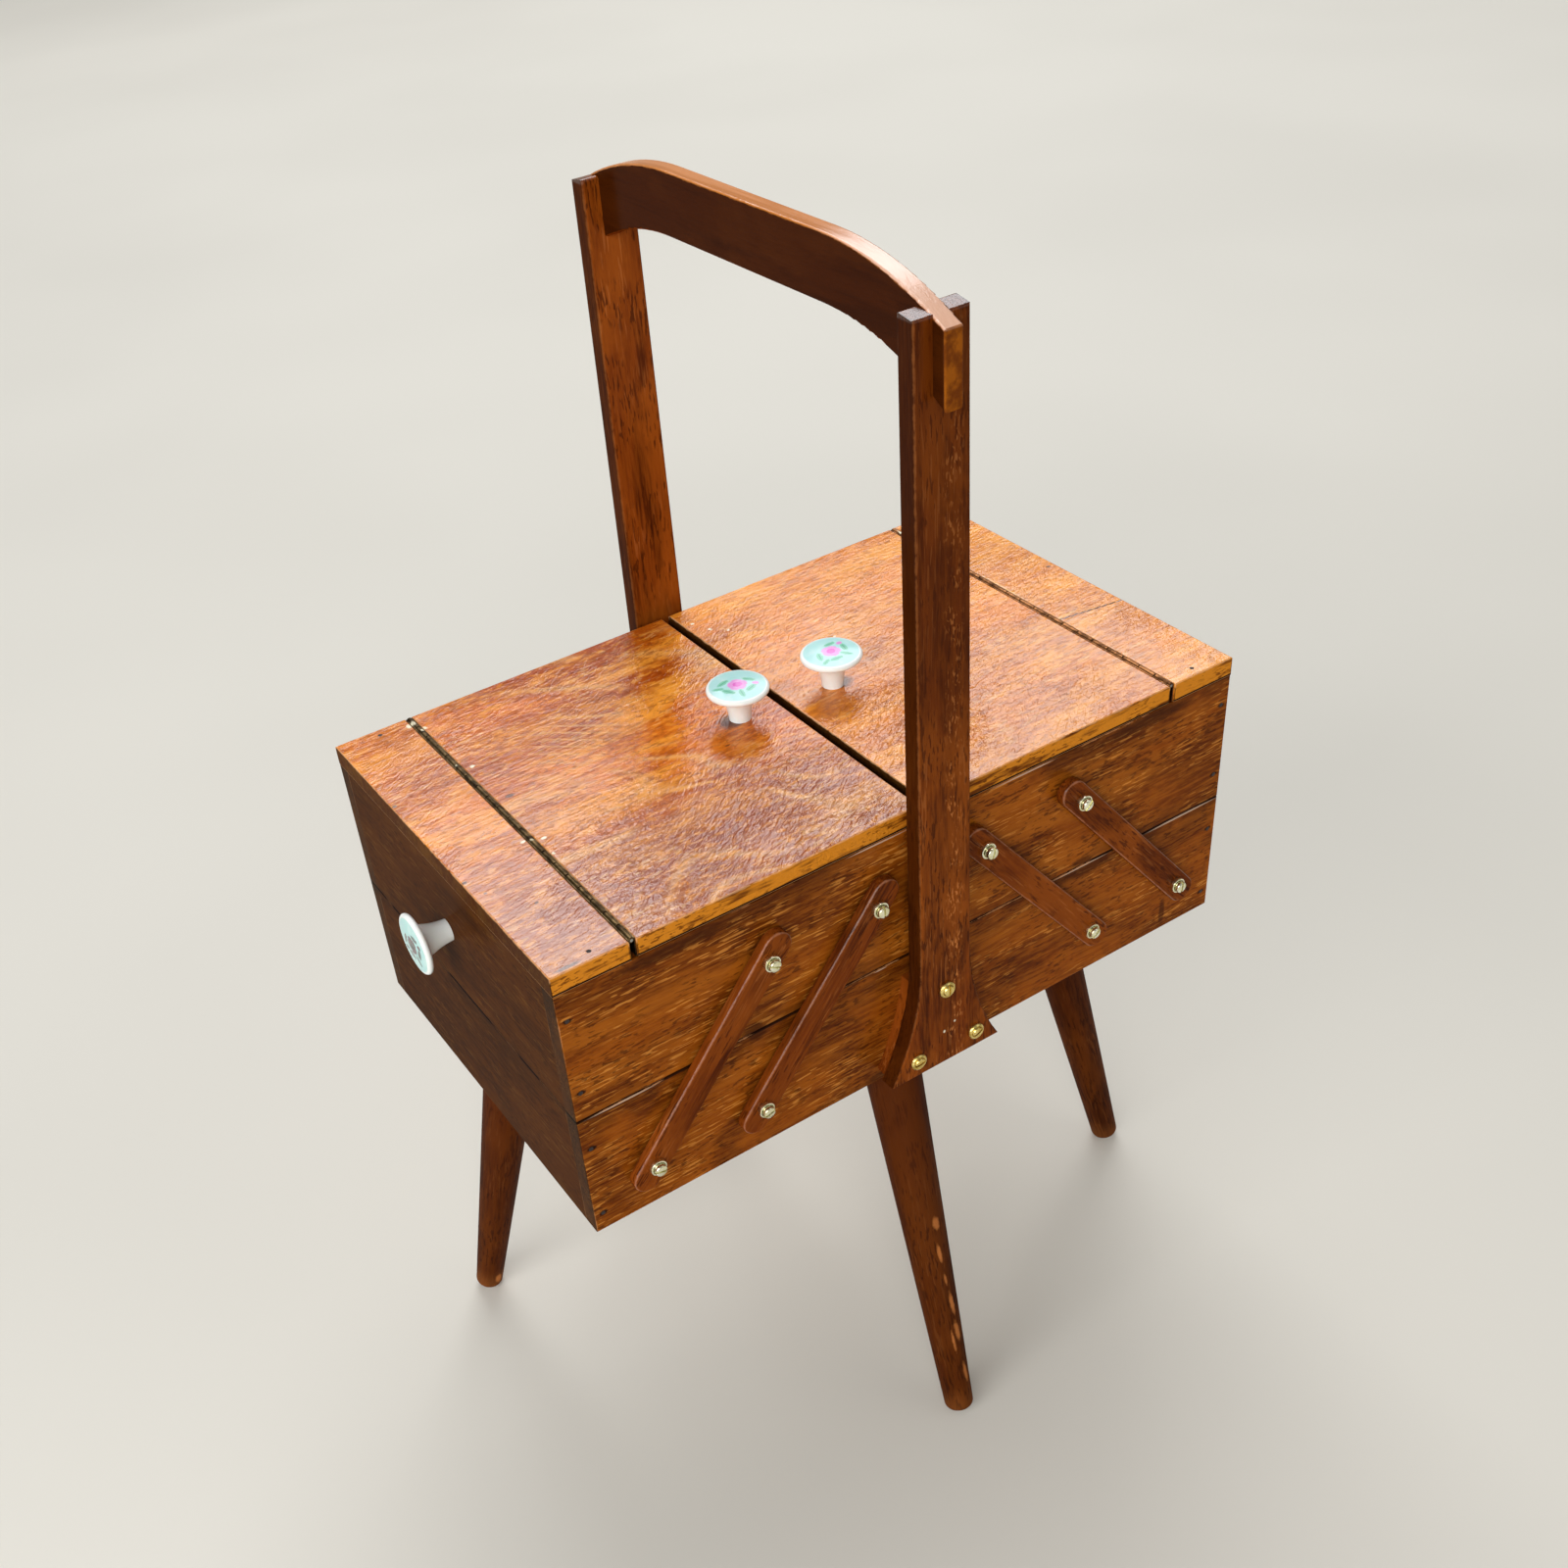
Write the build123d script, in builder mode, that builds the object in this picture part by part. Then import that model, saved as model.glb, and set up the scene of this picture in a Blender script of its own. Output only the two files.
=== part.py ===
from build123d import *
import os
from math import atan2, cos, degrees, hypot, radians, sin, tan

# A sewing carrier: a low box on four splayed legs, with two lidded trays above it that
# swing out on parallel arms, and a fixed carrying handle over them. All sizes in mm.
# Frame: origin on the floor under the middle of the box, X along the box, Y across it
# with the front at -Y, Z up. Pieces are made at the front left, and mirrored where a
# twin exists.

os.makedirs("parts", exist_ok=True)

# ---- Box and trays
box_length = 420.0
box_width = 243.0
side_board = 11.0            # front and back boards, their end grain shows at the ends
end_board = 10.0             # boards between them
lower_height = 78.0
tray_height = 80.0
tray_seam = 0.5              # between the lower box's rim and the trays
tray_gap = 4.0               # between the two trays
lower_panel_thickness = 5.0
tray_panel_thickness = 4.0
board_ease = 0.7             # rounding of the boards' outer edges

# ---- Lids and the fixed strips that carry them
strip_width = 41.6
strip_thickness = 11.0
lid_gap = 5.0                # between the two lids
lid_rest_gap = 0.8           # under each lid
lid_ease = 0.8

# ---- Piano hinges
hinge_seam = 3.8             # from strip to lid
hinge_leaf = 0.7
hinge_pin_radius = 0.8
hinge_knuckle_radius = 1.6
hinge_axis_drop = 0.8        # the pin's centre lies this far under the top face
hinge_knuckles = 20
hinge_end_gap = 1.0
hinge_clearance = 0.3
hinge_pin_clearance = 0.06

# ---- Legs and the crossed battens that hold them
leg_height = 225.0
leg_top_radius = 16.5
leg_foot_radius = 8.4
leg_foot_round = 4.5
foot_flat = 0.4              # the feet are sanded level by this much
leg_centre_x = -12.0         # the legs stand a little to the left of the box's middle
end_leg_inset = 48.0         # from the box's end to the middle of a leg's top
end_leg_y = 39.0             # to the back at the left, to the front at the right
end_leg_splay = (41.2, 33.4)  # from a leg's top to its foot, outward along X and Y
side_leg_x = 1.0
side_leg_inset = 18.5        # from the box's front or back face
side_leg_splay = (16.2, 83.2)
batten_thickness = 12.0
batten_width = 42.0
batten_overhang = 20.0       # past the middle of an end leg's top
stud_radius = 4.0
stud_in_leg = 38.0

# ---- Swing arms
arm_span = 119.8             # pivot to pivot
arm_lean = 39.3              # inward from upright when closed, degrees
arm_width = 16.3
arm_thickness = 5.4
arm_end = 16.5               # past each pivot
arm_ease = 1.4
arm_side_gap = 2.0           # between an arm and the boards, filled by a washer
washer_radius = 5.0
washer_clearance = 0.1
outer_pivot_inset = 34.9     # lower pivots of the outer arms, from the box's ends
arm_upright_gap = 9.77       # from an upright to the upper end of a closed inner arm
lower_pivot_height = 36.5    # above the underside of the box, at the right
left_arm_drop = 3.9          # the left arms sit this much lower than the right ones
pivot_radius = 2.2
pivot_clearance = 0.08
pivot_into_board = 9.0
cup_radius = 4.6
cup_thickness = 2.4
cup_gap = 0.15               # so that the arm turns freely
cup_ease = 0.7
screw_head_radius = 3.2
screw_head_height = 2.8
slot_width = 1.0
slot_depth = 1.3
fixing_gap = 0.05            # between separate metal pieces that sit on each other

# ---- Uprights and crossbar
spacer_thickness = 6.4       # between the lower box and an upright
upright_thickness = 11.0
upright_height = 419.5       # above the underside of the box, at its inner face
upright_top_slope = 9.5      # degrees down to its outer face
upright_top_half = 14.8
upright_waist_half = 16.3
upright_waist_height = 80.0
flare_mid = (21.3, 45.0)
foot_half = 36.2
foot_height = 7.8            # the foot stops this far above the underside of the box
upright_ease = 1.6
spacer_height = 66.0
spacer_inset = 1.5
bar_thickness = 10.0
bar_rise = 14.8              # of the bar's middle above the uprights
bar_depth = 30.8
bar_straight_half = 62.0
bar_drop_top = 20.6          # from the middle down to the ends
bar_drop_bottom = 24.2
bar_overhang = 7.5           # past the uprights
bar_ease = 1.2
foot_screw_radius = 2.5
foot_screw_into_board = 8.5
foot_screw_head_radius = 5.0
foot_screw_head_height = 3.2
foot_screw_slot = 1.2
foot_screw_top_height = 60.0
foot_screw_low_height = 19.3
foot_screw_half_spacing = 19.5

# ---- Porcelain knobs
knob_radius = 17.0
knob_height = 20.5
knob_rim = 3.4
knob_dome = 0.7
knob_base = 6.1
knob_waist = (6.9, 7.0)      # radius and height
knob_shoulder = (9.2, 14.2)
lid_knobs = {"left": (25.9, 2.2), "right": (31.4, -2.7)}   # from the middle, and along Y
end_knob_y = 2.0
knob_screw_radius = 2.0
knob_screw_in_knob = 11.0
knob_screw_head_radius = 4.2
knob_screw_head_height = 2.4

# ---- Nails
nail_radius = 0.9
nail_length = 28.0
nail_sunk = 0.3              # under the face, filled over
nail_inset = 23.0            # above and below a board's middle
lower_nail_drop = 4.5        # the lower box's nails sit this much lower than that
strip_nail_from_end = 24.0
strip_nail_inset = 6.0       # from the front and back faces

# ---- Levels and faces that follow from the sizes above
box_bottom = leg_height
lower_rim = box_bottom + lower_height
tray_bottom = lower_rim + tray_seam
tray_rim = tray_bottom + tray_height
top_face = tray_rim + strip_thickness
lid_thickness = strip_thickness - lid_rest_gap
half_length = box_length / 2
half_width = box_width / 2
inner_half_width = half_width - side_board
tray_inner_x = -tray_gap / 2
seam_outer_x = -half_length + strip_width
seam_inner_x = seam_outer_x + hinge_seam
hinge_x = seam_outer_x + hinge_seam / 2
hinge_z = top_face - hinge_axis_drop
strip_nail_x = -half_length + strip_nail_from_end
arm_inner_y = -half_width - arm_side_gap
arm_outer_y = arm_inner_y - arm_thickness
upright_inner_y = -half_width - spacer_thickness
upright_outer_y = upright_inner_y - upright_thickness
inner_upper_pivot = -upright_waist_half - arm_upright_gap - arm_width / 2
swing_reach = arm_span * sin(radians(arm_lean))
lower_pivots = [-half_length + outer_pivot_inset, inner_upper_pivot - swing_reach]
upper_pivots = [x + swing_reach for x in lower_pivots]
arm_rise = arm_span * cos(radians(arm_lean))
pivot_levels = {              # of the lower pivots
    "left": box_bottom + lower_pivot_height - left_arm_drop,
    "right": box_bottom + lower_pivot_height,
}
end_knob_z = (tray_bottom + tray_rim) / 2


def write(part, name):
    part.label = name
    export_step(part, f"parts/{name}.step")


def mirrored(part, about):
    with BuildPart() as twin:
        mirror(part, about=about)
    return twin.part


def write_faces(part, before, after):
    """Write a front piece, and its twin at the back."""
    write(part, f"{before}front{after}")
    write(mirrored(part, Plane.XZ), f"{before}back{after}")


def write_side(side, part, after):
    """Write a piece made at the left, at its own side."""
    write(part if side == "left" else mirrored(part, Plane.YZ), f"{side}_{after}")


def write_sides(part, after):
    """Write a left piece, and its twin at the right."""
    for side in ("left", "right"):
        write_side(side, part, after)


def write_side_faces(side, part, before, after):
    """Write a piece made at the front left, and its twin at the back, at their own side."""
    write_side(side, part, f"{before}front{after}")
    write_side(side, mirrored(part, Plane.XZ), f"{before}back{after}")


def block(low, high):
    """A block from its lowest to its highest corner, joined to the part being built."""
    with Locations(low):
        Box(*[b - a for a, b in zip(low, high)], align=Align.MIN)


def facing(face_y, x, z):
    """A plane at a point of a face across the box, looking out of that face, with its
    own Y up. Its own X runs to the viewer's right."""
    side = -1 if face_y < 0 else 1
    return Plane(origin=(x, face_y, z), x_dir=(-side, 0, 0), z_dir=(0, side, 0))


def drill(plane, radius, depth):
    with Locations(plane):
        Hole(radius, depth=depth)


def rod(radius, low, high):
    """A round rod along the local Z, joined to the part being built."""
    with Locations((0, 0, low)):
        Cylinder(radius, high - low, align=(Align.CENTER, Align.CENTER, Align.MIN))


def slotted_head(radius, height, slot, round_off):
    """A screw head that stands on the local Z = 0, with its driver slot along X."""
    with BuildPart() as head:
        rod(radius, 0, height)
        fillet(head.edges().filter_by(GeomType.CIRCLE).sort_by(Axis.Z)[-1], round_off)
        with Locations((0, 0, height)):
            Box(3 * radius, slot, 2 * slot_depth, mode=Mode.SUBTRACT)
    return head.part


# ================================================================ lower box
def side_nail_places(level):
    """Where nails hold the end boards of a tier, as x and z, for both ends at the left."""
    return [(-half_length + end_board / 2, level + dz) for dz in (-nail_inset, nail_inset)]


lower_nail_middle = box_bottom + lower_height / 2 - lower_nail_drop
tray_middle = (tray_bottom + tray_rim) / 2
lower_nails = [(side * x, z) for x, z in side_nail_places(lower_nail_middle) for side in (-1, 1)]
tray_nails = side_nail_places(tray_middle)
tray_nails += [(tray_inner_x - end_board / 2, z) for _, z in tray_nails]
foot_screws = [
    (0, box_bottom + foot_screw_top_height),
    (-foot_screw_half_spacing, box_bottom + foot_screw_low_height),
    (foot_screw_half_spacing, box_bottom + foot_screw_low_height),
]
base_pivots = [(x, pivot_levels["left"]) for x in lower_pivots]
base_pivots += [(-x, pivot_levels["right"]) for x in lower_pivots]

with BuildPart() as lower_side_board:
    block((-half_length, -half_width, box_bottom), (half_length, -inner_half_width, lower_rim))
    fillet(lower_side_board.faces().sort_by(Axis.Y)[0].edges(), board_ease)
    for x, z in lower_nails:
        drill(facing(-half_width, x, z), nail_radius + fixing_gap, side_board)
    for x, z in base_pivots:
        drill(facing(-half_width, x, z), pivot_radius + fixing_gap, pivot_into_board + 1)
    for x, z in foot_screws:
        drill(facing(-half_width, x, z), foot_screw_radius + fixing_gap, foot_screw_into_board + 1)
write_faces(lower_side_board.part, "lower_", "_board")


def nailed_end_board(low_x, low_z, high_z, nails):
    """A board across the box between the side boards, drilled for their nails."""
    with BuildPart() as board:
        block((low_x, -inner_half_width, low_z), (low_x + end_board, inner_half_width, high_z))
        for z in nails:
            for face in (-inner_half_width, inner_half_width):
                drill(facing(face, low_x + end_board / 2, z), nail_radius + fixing_gap,
                      nail_length - side_board)
    return board.part


def nail_group(nails):
    """Nails through both side boards, their heads just under the wood."""
    with BuildPart() as group:
        for x, z in nails:
            for face in (-half_width, half_width):
                with Locations(facing(face, x, z)):
                    rod(nail_radius, -nail_length, -nail_sunk)
    return group.part


write_sides(nailed_end_board(-half_length, box_bottom, lower_rim,
                             [z for _, z in side_nail_places(lower_nail_middle)]), "lower_end")
write(nail_group(lower_nails), "lower_box_nails")

with BuildPart() as lower_panel:
    block((-half_length + end_board, -inner_half_width, box_bottom + batten_thickness),
          (half_length - end_board, inner_half_width,
           box_bottom + batten_thickness + lower_panel_thickness))
write(lower_panel.part, "lower_panel")

# ================================================================ battens and legs
end_leg_top = (half_length - end_leg_inset, end_leg_y)
side_leg_top = (side_leg_x, half_width - side_leg_inset)
end_leg_foot = [top + splay for top, splay in zip(end_leg_top, end_leg_splay)]
side_leg_foot = [top + splay for top, splay in zip(side_leg_top, side_leg_splay)]
end_leg_radius = hypot(*end_leg_top)
long_batten_turn = -degrees(atan2(end_leg_top[1], end_leg_top[0]))


def plain_batten(long_one, level, thickness):
    """A length of either batten, from a level upward."""
    with BuildPart() as piece:
        with BuildSketch(Plane.XY.offset(level)):
            with Locations((leg_centre_x, 0)):
                if long_one:
                    Rectangle(2 * (end_leg_radius + batten_overhang), batten_width,
                              rotation=long_batten_turn)
                else:
                    Rectangle(batten_width, 2 * inner_half_width)
        extrude(amount=thickness)
    return piece.part


def leg_line(top, foot, turned):
    """The foot's end plane and the height of the box along a leg's own axis. The plane's Z
    runs up the leg, from a point low enough that the sanded flat lies on the floor."""
    turn = -1 if turned else 1
    top_x, top_y = leg_centre_x - turn * top[0], turn * top[1]
    foot_x, foot_y = leg_centre_x - turn * foot[0], turn * foot[1]
    tilt = atan2(hypot(top_x - foot_x, top_y - foot_y), leg_height)
    lift = (leg_foot_round + (leg_foot_radius - leg_foot_round) * sin(tilt)
            - leg_foot_round * cos(tilt) - foot_flat)
    share = lift / leg_height
    origin = (foot_x + share * (top_x - foot_x), foot_y + share * (top_y - foot_y), lift)
    plane = Plane(origin=origin, z_dir=(top_x - foot_x, top_y - foot_y, leg_height))
    return plane, (leg_height - lift) / cos(tilt), tilt


leg_lines = {
    "left": leg_line(end_leg_top, end_leg_foot, False),
    "right": leg_line(end_leg_top, end_leg_foot, True),
    "front": leg_line(*[(x, -y) for x, y in (side_leg_top, side_leg_foot)], False),
    "back": leg_line(*[(x, -y) for x, y in (side_leg_top, side_leg_foot)], True),
}

for name, (plane, length, tilt) in leg_lines.items():
    taper = (leg_top_radius - leg_foot_radius) / length
    full = length + leg_top_radius * tan(tilt) + 1
    with BuildPart(plane) as leg:
        Cone(leg_foot_radius, leg_foot_radius + taper * full, full,
             align=(Align.CENTER, Align.CENTER, Align.MIN))
        fillet(leg.edges().filter_by(GeomType.CIRCLE).sort_by(Axis.Z)[0], leg_foot_round)
        with Locations((0, 0, length - stud_in_leg)):
            Cylinder(stud_radius + fixing_gap, full, align=(Align.CENTER, Align.CENTER, Align.MIN),
                     mode=Mode.SUBTRACT)
        split(bisect_by=Plane.XY.offset(leg_height), keep=Keep.BOTTOM)
        split(bisect_by=Plane.XY, keep=Keep.TOP)
    write(leg.part, f"{name}_leg")


def stud_top(length, tilt):
    """How far up its leg's axis a stud ends, so that it stays inside its batten."""
    return length + (batten_thickness - 2 * fixing_gap) / cos(tilt) - stud_radius * tan(tilt)


with BuildPart() as leg_studs:
    for plane, length, tilt in leg_lines.values():
        with Locations(plane):
            rod(stud_radius, length - stud_in_leg + fixing_gap, stud_top(length, tilt))
write(leg_studs.part, "leg_studs")


def batten_with_bores(long_one):
    """A batten halved over the other, and bored for the studs of its two legs."""
    half = batten_thickness / 2
    with BuildPart() as piece:
        add(plain_batten(long_one, box_bottom, batten_thickness))
        add(plain_batten(not long_one, box_bottom + (half if long_one else 0), half),
            mode=Mode.SUBTRACT)
        for name in ("left", "right") if long_one else ("front", "back"):
            plane, length, tilt = leg_lines[name]
            with Locations(plane):
                with Locations((0, 0, length - stud_in_leg)):
                    Cylinder(stud_radius + fixing_gap, 2 * stud_in_leg, mode=Mode.SUBTRACT,
                             align=(Align.CENTER, Align.CENTER, Align.MIN))
    return piece.part


write(batten_with_bores(True), "long_batten")
write(batten_with_bores(False), "cross_batten")

# ================================================================ crossbar and uprights
bar_end = -upright_outer_y + bar_overhang
bar_level = box_bottom + upright_height + bar_rise
bar_under = bar_level - bar_depth

with BuildPart() as crossbar:
    with BuildSketch(Plane.YZ.offset(-bar_thickness / 2)):
        with BuildLine():
            Line((0, bar_level), (bar_straight_half, bar_level))
            TangentArc((bar_straight_half, bar_level), (bar_end, bar_level - bar_drop_top),
                       tangent=(1, 0))
            Line((bar_end, bar_level - bar_drop_top), (bar_end, bar_under - bar_drop_bottom))
            TangentArc((bar_straight_half, bar_under), (bar_end, bar_under - bar_drop_bottom),
                       tangent=(1, 0))
            Line((bar_straight_half, bar_under), (0, bar_under))
            mirror(about=Plane.YZ)
        make_face()
    extrude(amount=bar_thickness)
    sides = crossbar.faces().filter_by(Axis.X)
    fillet(sides.edges(), bar_ease)
write(crossbar.part, "crossbar")


# The outline of an upright, with its Y up from the box's bottom
with BuildSketch() as upright_outline:
    with BuildLine():
        Line((0, foot_height), (foot_half, foot_height))
        ThreePointArc((foot_half, foot_height), flare_mid, (upright_waist_half, upright_waist_height))
        Line((upright_waist_half, upright_waist_height), (upright_top_half, upright_height))
        Line((upright_top_half, upright_height), (0, upright_height))
        mirror(about=Plane.YZ)
    make_face()

with BuildPart() as upright:
    with BuildSketch(facing(upright_inner_y, 0, box_bottom)):
        add(upright_outline.sketch)
    extrude(amount=upright_thickness)
    slope = radians(upright_top_slope)
    split(bisect_by=Plane(origin=(0, upright_inner_y, box_bottom + upright_height),
                          z_dir=(0, -sin(slope), cos(slope))), keep=Keep.BOTTOM)
    fillet(upright.faces().filter_by(Axis.Y).edges(), upright_ease)
    for x, z in foot_screws:
        drill(facing(upright_outer_y, x, z), foot_screw_radius + fixing_gap, upright_thickness)
    add(crossbar.part, mode=Mode.SUBTRACT)
write_faces(upright.part, "", "_upright")

with BuildPart() as spacer:
    with BuildSketch(facing(-half_width, 0, box_bottom)):
        offset(upright_outline.sketch, amount=-spacer_inset)
        with Locations((0, spacer_height)):
            Rectangle(4 * foot_half, 2 * upright_height, align=(Align.CENTER, Align.MIN),
                      mode=Mode.SUBTRACT)
    extrude(amount=spacer_thickness)
    for x, z in foot_screws:
        drill(facing(upright_inner_y, x, z), foot_screw_radius + fixing_gap, upright_thickness)
write_faces(spacer.part, "", "_spacer")

with BuildPart() as foot_screw:
    rod(foot_screw_radius, upright_outer_y + half_width - foot_screw_into_board, fixing_gap)
    with Locations((0, 0, fixing_gap)):
        add(slotted_head(foot_screw_head_radius, foot_screw_head_height, foot_screw_slot,
                         foot_screw_head_height * 0.7))

slot_turns = [20, 95, 140, 62, 170, 118, 35, 80]   # where each driver slot came to rest

with BuildPart() as upright_screws:
    for face in (upright_outer_y, -upright_outer_y):
        for (x, z), turn in zip(foot_screws, slot_turns):
            with Locations(facing(face, x, z)):
                add(foot_screw.part, rotation=(0, 0, turn))
write(upright_screws.part, "upright_screws")

# ================================================================ swing arms and pivots
for side, level in pivot_levels.items():
    for name, low_x, high_x in zip(("outer", "inner"), lower_pivots, upper_pivots):
        with BuildPart() as arm:
            with BuildSketch(facing(arm_inner_y, (low_x + high_x) / 2, level + arm_rise / 2)):
                SlotCenterToCenter(arm_span + 2 * arm_end - arm_width, arm_width,
                                   rotation=90 - arm_lean)
            extrude(amount=arm_thickness)
            fillet(arm.faces().sort_by(Axis.Y)[0].edges(), arm_ease)
            for x, z in ((low_x, level), (high_x, level + arm_rise)):
                drill(facing(arm_outer_y, x, z), pivot_radius + pivot_clearance, arm_thickness)
        write_side_faces(side, arm.part, f"{name}_arm_", "")

cup_level = arm_side_gap + arm_thickness + cup_gap
head_level = cup_level + cup_thickness + fixing_gap

with BuildPart() as pivot_screw:
    rod(pivot_radius, -pivot_into_board, head_level)
    with Locations((0, 0, head_level)):
        add(slotted_head(screw_head_radius, screw_head_height, slot_width, cup_ease))

with BuildPart() as pivot_cup:
    rod(cup_radius, cup_level, cup_level + cup_thickness)
    fillet(pivot_cup.edges().filter_by(GeomType.CIRCLE).sort_by(Axis.Z)[-1], cup_ease)
    with Locations((0, 0, cup_level)):
        Cylinder(pivot_radius + fixing_gap, 2 * cup_thickness, mode=Mode.SUBTRACT)


with BuildPart() as pivot_washer:
    rod(washer_radius, washer_clearance, arm_side_gap - washer_clearance)
    Cylinder(pivot_radius + fixing_gap, 4 * arm_side_gap, mode=Mode.SUBTRACT)


def pivot_fixings(pivots):
    """Screws, cups and washers at the same pivots, as x and z, of the front and back."""
    with BuildPart() as group:
        for face in (-half_width, half_width):
            turns = slot_turns if face < 0 else slot_turns[::-1]
            for (x, z), turn in zip(pivots, turns):
                with Locations(facing(face, x, z)):
                    add(pivot_screw.part, rotation=(0, 0, turn))
                    add([pivot_cup.part, pivot_washer.part])
    return group.part


write(pivot_fixings(base_pivots), "lower_pivot_fixings")
for side, level in pivot_levels.items():
    write_side(side, pivot_fixings([(x, level + arm_rise) for x in upper_pivots]),
               "upper_pivot_fixings")

# ================================================================ trays
for side, level in pivot_levels.items():
    with BuildPart() as tray_side_board:
        block((-half_length, -half_width, tray_bottom), (tray_inner_x, -inner_half_width, tray_rim))
        fillet(tray_side_board.faces().sort_by(Axis.Y)[0].edges(), board_ease)
        for x, z in tray_nails:
            drill(facing(-half_width, x, z), nail_radius + fixing_gap, side_board)
        for x in upper_pivots:
            drill(facing(-half_width, x, level + arm_rise), pivot_radius + fixing_gap,
                  pivot_into_board + 1)
        with Locations((strip_nail_x, -half_width + strip_nail_inset, tray_rim)):
            Hole(nail_radius + fixing_gap, depth=nail_length - strip_thickness)
    write_side_faces(side, tray_side_board.part, "tray_", "_board")

end_knob_plane = Plane(origin=(-half_length, end_knob_y, end_knob_z), x_dir=(0, -1, 0),
                       z_dir=(-1, 0, 0))
tray_nail_levels = [z for _, z in side_nail_places(tray_middle)]
with BuildPart() as tray_outer_end:
    add(nailed_end_board(-half_length, tray_bottom, tray_rim, tray_nail_levels))
    with Locations(end_knob_plane):
        Hole(knob_screw_radius + fixing_gap, depth=end_board)
write_sides(tray_outer_end.part, "tray_outer_end")
write_sides(nailed_end_board(tray_inner_x - end_board, tray_bottom, tray_rim, tray_nail_levels),
            "tray_inner_end")

with BuildPart() as tray_panel:
    block((-half_length + end_board, -inner_half_width, tray_bottom),
          (tray_inner_x - end_board, inner_half_width, tray_bottom + tray_panel_thickness))
write_sides(tray_panel.part, "tray_panel")

with BuildPart() as strip:
    block((-half_length, -half_width, tray_rim), (seam_outer_x, half_width, top_face))
    fillet(strip.faces().sort_by(Axis.Z)[-1].edges(), lid_ease)
    for face in (-1, 1):
        with Locations((strip_nail_x, face * (half_width - strip_nail_inset), top_face)):
            Hole(nail_radius + fixing_gap, depth=strip_thickness)
write_sides(strip.part, "top_strip")

with BuildPart() as tray_nail_set:
    add(nail_group(tray_nails))
    for face in (-1, 1):
        with Locations((strip_nail_x, face * (half_width - strip_nail_inset), top_face)):
            rod(nail_radius, -nail_length, -nail_sunk)
write_sides(tray_nail_set.part, "tray_nails")

# ================================================================ lids and hinges
for side, (knob_x, knob_y) in lid_knobs.items():
    with BuildPart() as lid:
        block((seam_inner_x, -half_width, top_face - lid_thickness),
              (-lid_gap / 2, half_width, top_face))
        fillet(lid.faces().sort_by(Axis.Z)[-1].edges(), lid_ease)
        with Locations((-knob_x, knob_y, top_face)):
            Hole(knob_screw_radius + fixing_gap, depth=lid_thickness)
    write_side(side, lid.part, "lid")

hinge_half = half_width - hinge_end_gap
knuckle_pitch = 2 * hinge_half / hinge_knuckles
leaf_top = hinge_z - hinge_knuckle_radius - hinge_clearance
leaf_low = top_face - lid_thickness


def hinge_leaf_with_knuckles(side, first):
    """A leaf against the wood on one side of the seam, -1 outward or 1 inward, with every
    other knuckle from the first."""
    wood_x = hinge_x + side * hinge_seam / 2
    plate_low, plate_high = sorted((wood_x, wood_x - side * hinge_leaf))
    with BuildPart() as leaf:
        block((plate_low, -hinge_half, leaf_low), (plate_high, hinge_half, leaf_top))
        for i in range(first, hinge_knuckles, 2):
            start = -hinge_half + i * knuckle_pitch + hinge_clearance / 2
            with BuildSketch(Plane.XZ.offset(-start)):
                with Locations((hinge_x, hinge_z)):
                    Circle(hinge_knuckle_radius)
                with Locations(((plate_low + plate_high) / 2, leaf_top)):
                    Rectangle(hinge_leaf, hinge_z - leaf_top, align=(Align.CENTER, Align.MIN))
                with Locations((hinge_x, hinge_z)):
                    Circle(hinge_pin_radius + hinge_pin_clearance, mode=Mode.SUBTRACT)
            extrude(amount=-(knuckle_pitch - hinge_clearance))
    return leaf.part


write_sides(hinge_leaf_with_knuckles(-1, 0), "hinge_strip_leaf")
write_sides(hinge_leaf_with_knuckles(1, 1), "hinge_lid_leaf")

with BuildPart() as hinge_pin:
    with Locations(facing(hinge_half, hinge_x, hinge_z)):
        rod(hinge_pin_radius, -2 * hinge_half, 0)
write_sides(hinge_pin.part, "hinge_pin")

# ================================================================ knobs
with BuildPart() as knob:
    disc_low = knob_height - knob_dome - knob_rim
    disc_high = knob_height - knob_dome
    with BuildSketch(Plane.XZ):
        with BuildLine():
            Line((0, 0), (knob_base, 0))
            waist = ThreePointArc((knob_base, 0), knob_waist, knob_shoulder)
            TangentArc(knob_shoulder, (knob_radius - knob_rim / 2, disc_low), tangent=waist % 1)
            ThreePointArc((knob_radius - knob_rim / 2, disc_low),
                          (knob_radius, disc_low + knob_rim / 2),
                          (knob_radius - knob_rim / 2, disc_high))
            TangentArc((0, knob_height), (knob_radius - knob_rim / 2, disc_high), tangent=(1, 0))
            Line((0, knob_height), (0, 0))
        make_face()
    revolve(axis=Axis.Z)
    with Locations((0, 0, 0)):
        Cylinder(knob_screw_radius + fixing_gap, 2 * (knob_screw_in_knob + fixing_gap),
                 mode=Mode.SUBTRACT)


def knob_screw(board):
    """A screw from inside a board of this thickness, along +Z into a knob on it."""
    with BuildPart() as screw:
        rod(knob_screw_radius, -board - fixing_gap, knob_screw_in_knob)
        with Locations((0, 0, -board - fixing_gap)):
            add(slotted_head(knob_screw_head_radius, knob_screw_head_height, slot_width,
                             knob_screw_head_height / 2), rotation=(180, 0, 0))
    return screw.part


def write_knob(side, plane, board, name):
    """Write a knob on a board of this thickness, and its screw."""
    with BuildPart() as placed_knob:
        with Locations(plane):
            add(knob.part)
    write_side(side, placed_knob.part, f"{name}_knob")
    with BuildPart() as placed_screw:
        with Locations(plane):
            add(knob_screw(board))
    write_side(side, placed_screw.part, f"{name}_knob_screw")


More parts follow.
